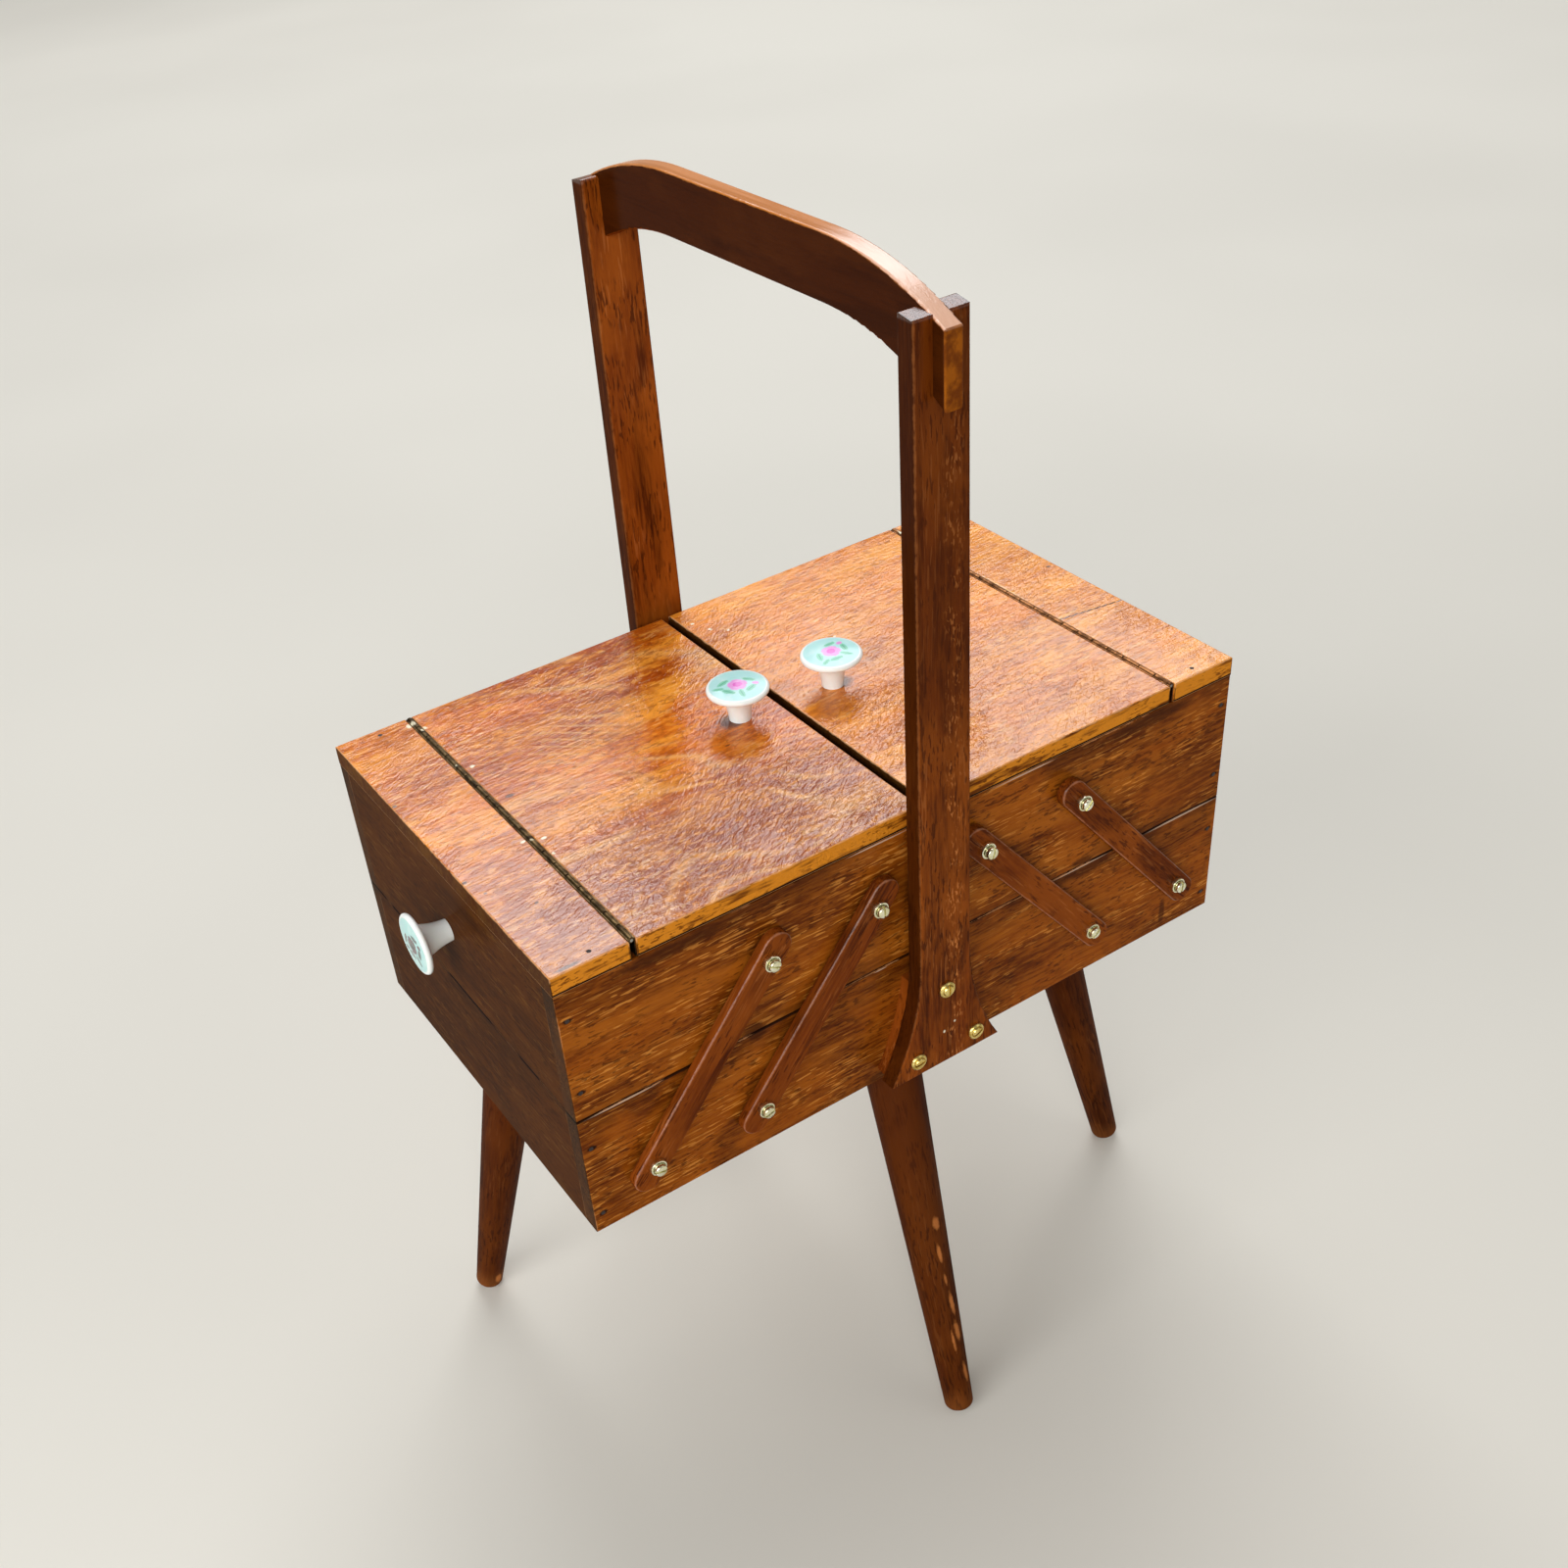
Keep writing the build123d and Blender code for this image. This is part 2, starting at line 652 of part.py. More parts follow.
for side, (knob_x, knob_y) in lid_knobs.items():
    write_knob(side, Plane((-knob_x, knob_y, top_face)), lid_thickness, "lid")
    write_knob(side, end_knob_plane, end_board, "end")
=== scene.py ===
from math import cos, pi, radians, sin

import bmesh
import bpy
from mathutils import Color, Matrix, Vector


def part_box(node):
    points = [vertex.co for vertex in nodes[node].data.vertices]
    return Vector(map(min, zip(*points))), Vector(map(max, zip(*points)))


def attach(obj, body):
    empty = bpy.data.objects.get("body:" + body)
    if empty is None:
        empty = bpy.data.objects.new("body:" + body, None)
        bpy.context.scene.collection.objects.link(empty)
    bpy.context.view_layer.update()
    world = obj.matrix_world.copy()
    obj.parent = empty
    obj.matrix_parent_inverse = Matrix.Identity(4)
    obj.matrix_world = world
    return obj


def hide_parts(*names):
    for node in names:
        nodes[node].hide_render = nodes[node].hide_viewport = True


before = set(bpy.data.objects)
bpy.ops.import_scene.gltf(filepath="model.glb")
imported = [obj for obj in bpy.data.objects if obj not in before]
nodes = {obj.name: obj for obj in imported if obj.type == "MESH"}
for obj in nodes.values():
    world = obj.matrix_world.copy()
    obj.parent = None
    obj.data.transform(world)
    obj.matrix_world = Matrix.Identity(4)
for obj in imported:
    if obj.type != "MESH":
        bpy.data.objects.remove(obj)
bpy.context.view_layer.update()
print("frame loaded,", len(nodes), "nodes")

# sizes that several pieces share, in millimetres as in the part
box = {"front": 121.5, "end": 210.0, "seam": 303.25, "top": 394.5, "insideY": 110.7,
       "insideEnd": 200.0, "insideMiddle": 11.8}
sides = {"left": -1, "right": 1}      # where each half stands along X
faces = {"front": -1, "back": 1}      # where each face stands along Y


def tone(red, green, blue):
    # a colour picked on screen, as a linear one
    colour = Color((red / 255, green / 255, blue / 255)).from_srgb_to_scene_linear()
    return (*colour, 1.0)


def mm(*sizes):
    return tuple(size / 1000 for size in sizes)


def show(name, data):
    # an object for this data, in the scene
    made = bpy.data.objects.new(name, data)
    bpy.context.scene.collection.objects.link(made)
    return made


def evaluatedMesh(made):
    seen = made.evaluated_get(bpy.context.evaluated_depsgraph_get())
    return bpy.data.meshes.new_from_object(seen)


class Wire:
    # a value in a node tree, reckoned with like a number

    def __init__(self, socket):
        self.socket = socket
        self.tree = socket.id_data

    def __add__(self, other):
        return calc("ADD", self, other)

    def __sub__(self, other):
        return calc("SUBTRACT", self, other)

    def __rsub__(self, other):
        return calc("SUBTRACT", other, self)

    def __mul__(self, other):
        return calc("MULTIPLY", self, other)

    def __truediv__(self, other):
        return calc("DIVIDE", self, other)

    def __abs__(self):
        return calc("ABSOLUTE", self)


class Outlets:
    # a node, and what it gives as wires

    def __init__(self, node):
        self.node = node

    def __getitem__(self, name):
        return Wire(self.node.outputs[name])


def treeOf(*values):
    return next(value.tree for value in values if isinstance(value, Wire))


def fill(node, inputs):
    for name, value in inputs.items():
        if isinstance(value, Wire):
            value.tree.links.new(value.socket, node.inputs[name])
        else:
            node.inputs[name].default_value = value
    return Outlets(node)


def put(tree, kind, inputs=None, **settings):
    node = tree.nodes.new(kind)
    for name, value in settings.items():
        setattr(node, name, value)
    return fill(node, inputs or {})


def calc(operation, *values):
    return put(treeOf(*values), "ShaderNodeMath", dict(enumerate(values)), operation=operation)[0]


def larger(first, second):
    return calc("MAXIMUM", first, second)


def smaller(first, second):
    return calc("MINIMUM", first, second)


def vec(operation, *values):
    outlets = put(treeOf(*values), "ShaderNodeVectorMath", dict(enumerate(values)), operation=operation)
    return outlets["Value" if operation == "LENGTH" else "Vector"]


def axes(vector):
    split = put(vector.tree, "ShaderNodeSeparateXYZ", {0: vector})
    return split["X"], split["Y"], split["Z"]


def joined(tree, x=0.0, y=0.0, z=0.0):
    return put(tree, "ShaderNodeCombineXYZ", {"X": x, "Y": y, "Z": z})[0]


def spun(vector, angle, axis="Z_AXIS"):
    return put(vector.tree, "ShaderNodeVectorRotate", {"Vector": vector, "Angle": angle},
               rotation_type=axis)[0]


def fade(value, low, high, start=0.0, end=1.0, kind="SMOOTHSTEP"):
    # start at low, end at high and a soft step between them
    return put(value.tree, "ShaderNodeMapRange",
               {"Value": value, "From Min": low, "From Max": high, "To Min": start, "To Max": end},
               interpolation_type=kind)["Result"]


def over(value, reach, start=0.0, end=1.0):
    # the same over a reach in millimetres
    return fade(value, *mm(*reach), start, end)


def noise(vector, scale, detail=2.0, rough=0.5, warp=0.0, output="Fac"):
    return put(vector.tree, "ShaderNodeTexNoise",
               {"Vector": vector, "Scale": scale, "Detail": detail, "Roughness": rough,
                "Distortion": warp})[output]


def shaken(vector, by, scale, detail, rough, amount):
    # a vector pushed about by a cloud that hangs in another
    cloud = vec("SUBTRACT", noise(by, scale, detail, rough, output="Color"), (0.5,) * 3)
    push = put(by.tree, "ShaderNodeVectorMath", {0: cloud, "Scale": amount}, operation="SCALE")[0]
    return vec("ADD", vector, push)


def blend(factor, first, second):
    return put(treeOf(factor, first, second), "ShaderNodeMix", {0: factor, 6: first, 7: second},
               data_type="RGBA", blend_type="MIX", clamp_factor=True)[2]


def paint(colour, hue, mask, amount):
    # lays a hue over a colour, as far as the mask and the amount let it
    return blend(mask * amount, colour, hue)


socketKinds = {"float": "NodeSocketFloat", "int": "NodeSocketInt", "vector": "NodeSocketVector",
               "object": "NodeSocketObject", "material": "NodeSocketMaterial",
               "geometry": "NodeSocketGeometry"}


def openTree(kind, name, inputs):
    # an input is a plain number, or its kind and value
    tree = bpy.data.node_groups.new(name, kind)
    for title, given in inputs.items():
        held, value = given if isinstance(given, tuple) else ("float", given)
        socket = tree.interface.new_socket(title, in_out="INPUT", socket_type=socketKinds[held])
        if value is not None:
            socket.default_value = value
    return tree, Outlets(tree.nodes.new("NodeGroupInput"))


def closeTree(tree, kind="float", **results):
    for title in results:
        tree.interface.new_socket(title, in_out="OUTPUT", socket_type=socketKinds[kind])
    fill(tree.nodes.new("NodeGroupOutput"), results)
    return tree


def openShader(name, places=(), **others):
    # a shader group that starts from a place, with further places and numbers
    inputs = {title: ("vector", None) for title in ("Vector", *places)}
    return openTree("ShaderNodeTree", name, {**inputs, **others})


def use(group, **inputs):
    node = treeOf(*inputs.values()).nodes.new("ShaderNodeGroup")
    node.node_tree = group
    return fill(node, {name[0].upper() + name[1:]: value for name, value in inputs.items()})


def makeGrain():
    # wood fibres that run along X: broad bands, fine streaks, short dark flecks and soft mottling
    tree, given = openShader("woodGrain", Bands=90.0, Streaks=700.0, Stretch=14.0, Warp=0.003,
                             Mottling=30.0)
    place = given["Vector"]
    x, y, z = axes(shaken(place, place, 11.0, 2.0, 0.5, given["Warp"]))

    def along(amount):
        return joined(tree, x / amount, y, z)

    long, short = along(given["Stretch"]), along(given["Stretch"] * 0.42)
    streaks = noise(long, given["Streaks"], 3.0, 0.62)
    threads = noise(long, given["Streaks"] * 1.25, 1.0, 0.5, 0.3)
    tufts = fade(noise(along(3.0), 60.0), 0.42, 0.60)
    specks = noise(short, given["Streaks"] * 1.1)
    clumps = fade(noise(place, 45.0), 0.38, 0.58)
    return closeTree(tree, Bands=noise(long, given["Bands"], 3.0, 0.6),
                     Streaks=fade(streaks, 0.38, 0.62),
                     Threads=fade(threads, 0.58, 0.63) * tufts,
                     Flecks=fade(specks, 0.55, 0.61) * clumps,
                     Mottle=noise(along(2.2), given["Mottling"], 4.0, 0.6, 0.6))


def makeFigure():
    # the curved growth lines of peeled veneer
    tree, given = openShader("veneerFigure", Scale=4.4, Lines=26.0, Sharpness=6.0)
    flat = vec("MULTIPLY", given["Vector"], (0.62, 1.0, 1.0))
    hills = noise(flat, given["Scale"], 2.0, 0.45, 0.5)
    wave = calc("SINE", hills * given["Lines"] * (2 * pi))
    lifted = calc("MULTIPLY_ADD", wave, 0.5, 0.5)
    broken = fade(noise(given["Vector"], 16.0, 3.0), 0.40, 0.66)
    return closeTree(tree, Line=calc("POWER", lifted, given["Sharpness"]) * broken, Band=lifted)


def depthsIn(given):
    # how deep a point lies behind each of a box's six sides
    return (axes(vec("SUBTRACT", given["Vector"], given["Low"]))
            + axes(vec("SUBTRACT", given["High"], given["Vector"])))


def makeEdges():
    # how near a point of a box's surface lies to one of the box's edges, broken up
    tree, given = openShader("edgeWear", ("Low", "High"), Width=0.001, Break=0.5)
    depths = depthsIn(given)
    near = [smaller(low, high) for low, high in zip(depths[:3], depths[3:])]
    least, most = smaller(*near[:2]), larger(*near[:2])
    middle = larger(least, smaller(most, near[2]))
    ragged = noise(given["Vector"], 160.0, 3.0, 0.7) - 0.5
    reach = given["Width"] * calc("MULTIPLY_ADD", ragged * given["Break"], 4.0, 1.0)
    return closeTree(tree, Edge=fade(middle / larger(reach, 0.00005), 1.0, 0.35))


def makeInside():
    # inside a box given by its corners
    tree, given = openShader("insideBox", ("Low", "High"))
    least, *others = depthsIn(given)
    for depth in others:
        least = smaller(least, depth)
    return closeTree(tree, Inside=fade(least, -0.0001, 0.0001))


def makeSpot():
    # a stain of ragged outline round a point
    tree, given = openShader("stainSpot", ("Centre",), Size=("vector", (0.003,) * 3), Ragged=0.5)
    away = vec("DIVIDE", vec("SUBTRACT", given["Vector"], given["Centre"]), given["Size"])
    bent = shaken(away, given["Vector"], 420.0, 3.0, 0.6, given["Ragged"])
    return closeTree(tree, Spot=fade(vec("LENGTH", bent), 1.0, 0.45))


def makeVarnish():
    # ripples and fine crazing of old brushed varnish
    tree, given = openShader("agedVarnish", Ripple=270.0, Craze=0.2, Turn=0.0)
    place = given["Vector"]
    squeezed = vec("MULTIPLY", spun(place, given["Turn"]), (0.34, 1.0, 1.0))
    ripple = noise(squeezed, given["Ripple"], 1.0, 0.5, 1.2)
    pull = fade(noise(place, 14.0), 0.35, 0.62)
    wander = vec("MULTIPLY", noise(place, 160.0, output="Color"), (0.004,) * 3)
    craze = put(tree, "ShaderNodeTexVoronoi",
                {"Vector": vec("ADD", place, wander), "Scale": given["Ripple"] * 0.9},
                feature="DISTANCE_TO_EDGE")["Distance"]
    cracks = fade(craze, 0.0, 0.18) * given["Craze"]
    return closeTree(tree, Height=(ripple + cracks) * pull, Haze=noise(place, 26.0, 3.0, 0.6))


def makeOval():
    # one painted petal or leaf: an oval at a place, turned, with a soft brushed rim
    tree, given = openShader("paintedOval", ("Centre",), Turn=0.0,
                             Size=("vector", (0.002,) * 3))
    moved = vec("SUBTRACT", given["Vector"], given["Centre"])
    shaped = vec("DIVIDE", spun(moved, given["Turn"]), given["Size"])
    wobble = calc("MULTIPLY_ADD", noise(given["Vector"], 900.0), 0.7, -0.35)
    return closeTree(tree, Oval=fade(vec("LENGTH", shaped) + wobble, 1.08, 0.72))


grain, figure, edges, spot = makeGrain(), makeFigure(), makeEdges(), makeSpot()
varnish, oval, inside = makeVarnish(), makeOval(), makeInside()
print("shader groups built")


def newMaterial(name):
    material = bpy.data.materials.new(name)
    material.use_nodes = True
    material.node_tree.nodes.clear()
    return material, put(material.node_tree, "ShaderNodeTexCoord")["Object"]


def finishMaterial(material, colour, rough, height=None, strength=0.3, depth=0.0003, coat=0.0,
                   **others):
    tree = material.node_tree
    inputs = {"Base Color": colour, "Roughness": rough, "Coat Weight": coat}
    inputs.update({name.replace("_", " "): value for name, value in others.items()})
    if height is not None:
        bump = put(tree, "ShaderNodeBump", {"Height": height, "Strength": strength, "Distance": depth})
        inputs.update({"Normal": bump[0], "Coat Normal": bump[0]})
    shader = put(tree, "ShaderNodeBsdfPrincipled", inputs)
    put(tree, "ShaderNodeOutputMaterial", {"Surface": shader[0]})
    return material


def varnished(material, place, colour, fibre, look, coat=None, wrinkles=None):
    # wood under its varnish: the skin's ripples and the fibres raise the surface
    skin = use(varnish, vector=place, **look["varnish"])
    height = skin["Height"] * (wrinkles or look["ripples"]) + fibre["Streaks"] * look["pores"]
    rough = fade(skin["Haze"], 0.3, 0.7, *look["rough"])
    return finishMaterial(material, colour, rough, height, *look["bump"],
                          coat=look["coat"] if coat is None else coat,
                          Coat_Roughness=look["coatRough"], Specular_IOR_Level=0.0)


def dress(name, material):
    held = nodes[name]
    if not held.material_slots:
        held.data.materials.append(material)
    for slot in held.material_slots:
        slot.material = material


def alongGrain(place, direction, seed):
    # turns a place so that the fibres run along X, and moves on to a fresh piece of wood
    turn = Vector(direction).rotation_difference(Vector((1, 0, 0))).to_euler()
    turned = put(place.tree, "ShaderNodeMapping", {"Vector": place, "Rotation": turn},
                 vector_type="POINT")[0]
    return vec("ADD", turned, (seed * 0.731, seed * 0.417, seed * 0.263))


def groundCoat(look, fibre):
    # the dark and middle tones, with broad lighter patches
    effect, low, high = look["ground"]
    colour = blend(fade(fibre[effect], low, high), look["dark"], look["middle"])
    effect, low, high, amount = look["patchy"]
    return paint(colour, look["light"], fade(fibre[effect], low, high), amount)


def layFibres(colour, look, fibre, amounts, calm=0.0):
    for effect, hue, amount in amounts:
        colour = paint(colour, look[hue], fibre[effect], amount * (1 - calm))
    return colour


def stain(place, colour, spots, hue, strength, ragged=0.5):
    # marks at given places over a colour
    for centre, size in spots:
        mask = use(spot, vector=place, centre=mm(*centre), size=mm(*size), ragged=ragged)["Spot"]
        colour = paint(colour, hue, mask, strength)
    return colour


def onFront(*marks, face=-1):
    # marks on the boards: x, z, and half the length, depth and height
    return [((x, face * box["front"], z), size) for x, z, *size in marks]


def onTop(*marks, level=box["top"]):
    # marks on the lids: x, y, and half the length, width and depth
    return [((x, y, level), size) for x, y, *size in marks]


boardLook = {
    "dark": tone(94, 41, 7), "middle": tone(140, 69, 12), "light": tone(176, 99, 25),
    "gold": tone(220, 144, 60), "fleck": tone(60, 25, 5), "rub": tone(206, 140, 88),
    "endGrain": tone(36, 24, 8), "shaded": tone(46, 26, 10), "putty": tone(30, 16, 9),
    "seam": tone(28, 11, 5), "scratch": tone(206, 174, 148), "inner": tone(176, 130, 84),
    "gap": tone(20, 9, 5),
    "grain": {"bands": 60.0, "streaks": 660.0, "stretch": 10.0, "mottling": 24.0},
    "ground": ("Mottle", 0.40, 0.60), "patchy": ("Bands", 0.46, 0.66, 0.6),
    "fibres": [("Streaks", "light", 0.42), ("Threads", "gold", 0.6), ("Flecks", "fleck", 0.62)],
    "varnish": {"ripple": 260.0, "craze": 0.3}, "ripples": 0.5, "pores": 0.45,
    "rough": (0.45, 0.6), "bump": (0.35, 0.00025), "coat": 0.12, "shadedCoat": 0.08,
    "coatRough": 0.2, "rimGrime": 0.020, "footGrime": 0.012,
    "seamReach": (1.4, 0.8), "gapAcross": (2.6, 2.2), "gapFrom": (117.5, 119.5),
    "sawnFrom": (209.55, 209.85),
}


def dressBoard(name, seed, direction=(1, 0, 0), rawBox=None, spots=(), shade=0.0, grime=(),
               scratchesAndHighlights=()):
    look = boardLook
    low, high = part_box(name)
    material, place = newMaterial(name)
    x, y, z = axes(place)
    fibre = use(grain, vector=alongGrain(place, direction, seed), **look["grain"])
    colour = layFibres(groundCoat(look, fibre), look, fibre, look["fibres"])
    # darker towards the top and bottom rims, in patches
    nearRim = fade(z, high[2] - look["rimGrime"], high[2])
    nearFoot = fade(z, low[2] + look["footGrime"], low[2])
    rims = larger(nearRim, nearFoot * 0.6) * fade(fibre["Mottle"], 0.62, 0.38)
    colour = paint(colour, look["fleck"], rims, 0.55)
    # painted shade: a board given a shade amount is mixed towards the dark shaded tone, as the box's ends
    # stand in shade
    if shade:
        colour = blend(shade, colour, look["shaded"])
    colour = stain(place, colour, grime, look["fleck"], 0.7)
    colour = stain(place, colour, spots, look["putty"], 0.9, 1.3)
    # the tiers' seam is dark; a thin pale line along part of its edge is wear and painted highlight
    seam = over(abs(z - box["seam"] / 1000), look["seamReach"], 0.0, 0.9)
    colour = blend(seam, colour, look["seam"])
    colour = stain(place, colour, scratchesAndHighlights, look["scratch"], 0.8, 0.25)
    worn = fade(noise(place, 22.0, 3.0), 0.50, 0.56)
    wear = use(edges, vector=place, low=low, high=high, width=0.0006, Break=0.9)["Edge"]
    colour = paint(colour, look["rub"], wear * worn, 0.15 if shade else 0.75)
    # painted shade in the gap where the two trays meet, and dark on the boards' sawn ends
    gapShadeMask = over(abs(x), look["gapAcross"]) * over(abs(y), look["gapFrom"])
    colour = paint(colour, look["gap"], gapShadeMask, 0.9)
    if direction[0]:
        colour = paint(colour, look["endGrain"], over(abs(x), look["sawnFrom"]), 0.85)
    if rawBox:
        raw = use(inside, vector=place, low=mm(*rawBox[0]), high=mm(*rawBox[1]))["Inside"]
        colour = blend(raw, colour, blend(fibre["Streaks"] * 0.5, look["inner"], look["light"]))
    dress(name, varnished(material, place, colour, fibre, look,
                          coat=look["shadedCoat"] if shade else look["coat"]))


plyLook = {
    "dark": tone(166, 70, 8), "middle": tone(220, 116, 24), "light": tone(252, 166, 56),
    "brown": tone(136, 62, 12), "line": tone(255, 200, 122), "fibre": tone(124, 50, 8),
    "edgeLight": tone(212, 132, 34), "edgeDark": tone(106, 52, 10), "outerEnd": tone(44, 26, 12),
    "innerEnd": tone(24, 12, 6), "under": tone(168, 122, 78), "rub": tone(236, 180, 128),
    "grime": tone(44, 20, 10), "cream": tone(240, 232, 200), "gap": tone(20, 9, 5),
    "direction": (1, 0.06, 0),
    "grain": {"bands": 46.0, "streaks": 430.0, "stretch": 4.5, "warp": 0.010, "mottling": 21.0},
    "layers": {"bands": 190.0, "streaks": 760.0, "stretch": 9.0},
    "ground": ("Mottle", 0.38, 0.59), "patchy": ("Bands", 0.44, 0.62, 0.7),
    "varnish": {"ripple": 390.0, "craze": 0.06, "turn": radians(-36)}, "ripples": 0.55,
    "wrinkles": 1.7, "pores": 0.08, "rough": (0.5, 0.62), "bump": (0.9, 0.0006), "coat": 0.92,
    "edgeCoat": 0.08, "coatRough": 0.13, "deepFrom": (10, -100), "sawnFrom": (120.85, 121.3),
    "innerTo": (3.0, 2.65), "outerFrom": (209.6, 209.9), "gapAbove": (1.6, 0.8),
    "rubBelow": (-4, -1), "underTo": (0.3, 0.1),
}


def levels(level, offsets):
    # two heights beside a level, in metres
    return [level + offset for offset in mm(*offsets)]


def dressPly(name, seed, lined=0.2, tintAndPaintedLight=0.0, frontDeep=0.0, wrinkled=None, darkMarks=(), flecks=(),
             joins=(), scratchesAndHighlights=()):
    look = plyLook
    low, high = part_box(name)
    material, place = newMaterial(name)
    x, y, z = axes(place)
    wood = alongGrain(place, look["direction"], seed)
    fibre = use(grain, vector=wood, **look["grain"])
    lines = use(figure, vector=wood)
    colour = groundCoat(look, fibre)
    colour = blend(fade(noise(wood, 9.0, 3.0), 0.46, 0.64, 0.0, 0.55), colour, look["dark"])
    # a more golden wood, and painted light: the lid is lifted towards its light tone, its dark specks
    # softened
    if tintAndPaintedLight:
        colour = blend(tintAndPaintedLight, colour, look["light"])
    if frontDeep:
        colour = blend(over(y, look["deepFrom"], 0.0, frontDeep), colour, look["brown"])
    colour = paint(colour, look["dark"], lines["Band"], lined * 0.7)
    colour = paint(colour, look["line"], lines["Line"], lined)
    # fine light and dark crumbs in the varnish
    crumbs = noise(vec("MULTIPLY", wood, (0.42, 1.0, 1.0)), 300.0, 4.0, 0.66)
    colour = blend(fade(crumbs, 0.50, 0.61, 0.0, 0.36), colour, look["light"])
    colour = blend(fade(crumbs, 0.48, 0.38, 0.0, 0.40 * (1 - 0.6 * tintAndPaintedLight)), colour, look["fibre"])
    colour = layFibres(colour, look, fibre, [("Threads", "line", 0.28),
                                             ("Flecks", "fibre", 0.45 * (1 - tintAndPaintedLight))])
    for spots, hue, strength, ragged in ((scratchesAndHighlights, "line", 0.6, 0.8), (darkMarks, "grime", 0.8, 0.5),
                                         (flecks, "cream", 0.95, 0.5), (joins, "grime", 0.9, 0.35)):
        colour = stain(place, colour, spots, look[hue], strength, ragged)
    # sawn edges at the front and back show the layers
    rim = over(abs(y), look["sawnFrom"])
    layers = use(grain, vector=wood, **look["layers"])
    rimColour = blend(fade(layers["Bands"], 0.36, 0.50), look["edgeDark"], look["edgeLight"])
    rimColour = paint(rimColour, look["edgeDark"], layers["Flecks"], 0.8)
    # painted shadow: the lowest part of the sawn edge is painted as the dark gap beneath the lid
    rimColour = blend(fade(z, *levels(low[2], look["gapAbove"])), rimColour, look["gap"])
    colour = blend(rim, colour, rimColour)
    # painted shade: the inner end, facing the gap between the lids, is painted almost black
    gapShadeMask = over(abs(x), look["innerTo"])
    colour = paint(colour, look["innerEnd"], gapShadeMask, 0.93)
    # painted shade: the outer end, facing out beside the box's shaded end, is painted dark
    outer = over(abs(x), look["outerFrom"])
    colour = paint(colour, look["outerEnd"], outer, 0.9)
    # the upper arrises are rubbed pale, and the lower ones are darker
    wear = use(edges, vector=place, low=low, high=high, width=0.0008, Break=0.8)["Edge"]
    above = fade(z, *levels(high[2], look["rubBelow"]))
    colour = paint(colour, look["rub"], wear * above, 0.5)
    colour = blend(wear * 0.7 * fade(above, 1.0, 0.0), colour, look["grime"])
    colour = blend(fade(z, *levels(low[2], look["underTo"])), colour, look["under"])
    wrinkles = None
    if wrinkled:
        centre, size = wrinkled
        patch = use(spot, vector=place, centre=mm(*centre), size=mm(*size), ragged=0.3)["Spot"]
        wrinkles = fade(patch, 0.0, 1.0, look["ripples"], look["wrinkles"])
    coat = fade(larger(larger(rim, outer), gapShadeMask), 0.0, 1.0, look["coat"], look["edgeCoat"])
    dress(name, varnished(material, place, colour, fibre, look, coat, wrinkles))


hardLook = {
    "dark": tone(72, 29, 5), "middle": tone(120, 55, 11), "light": tone(156, 80, 20),
    "fleck": tone(44, 16, 4), "rub": tone(200, 122, 62), "endGrain": tone(150, 82, 14),
    "red": tone(112, 44, 10), "top": tone(232, 150, 84), "ray": tone(196, 120, 60),
    "topGold": tone(206, 124, 44), "topPale": tone(242, 204, 182), "armRub": tone(196, 136, 100),
    "side": tone(46, 17, 3), "endDark": tone(104, 50, 8),
    "grain": {"bands": 110.0, "streaks": 640.0, "stretch": 15.0, "warp": 0.004, "mottling": 22.0},
    "ground": ("Bands", 0.40, 0.57), "patchy": ("Mottle", 0.46, 0.64, 0.8),
    "fibres": [("Streaks", "light", 0.4), ("Threads", "rub", 0.3), ("Flecks", "fleck", 0.7)],
    "varnish": {"ripple": 240.0, "craze": 0.2}, "ripples": 0.4, "pores": 0.5,
    "rough": (0.42, 0.55), "bump": (0.3, 0.00025), "coat": 0.1, "glossy": 0.9, "armGloss": 0.6,
    "coatRough": 0.18, "raysAcross": (7.5, 1.0), "barSide": (4.5, 4.9), "arris": (1.1, 0.3),
    "barTop": (0.8, 0.3), "paleFrom": (-50, -100), "wornTo": (0.006, -0.010),
}


def pithRays(place, across, colour, look):
    # short pale dashes in a column up the wood
    dashes = noise(vec("MULTIPLY", place, (1.0, 1.0, 0.30)), 820.0, 1.0, 0.5, 0.4)
    column = over(abs(across), look["raysAcross"], 0.0, 0.75)
    sparse = fade(noise(place, 90.0), 0.40, 0.56)
    return blend(fade(dashes, 0.56, 0.62) * column * sparse, colour, look["ray"])


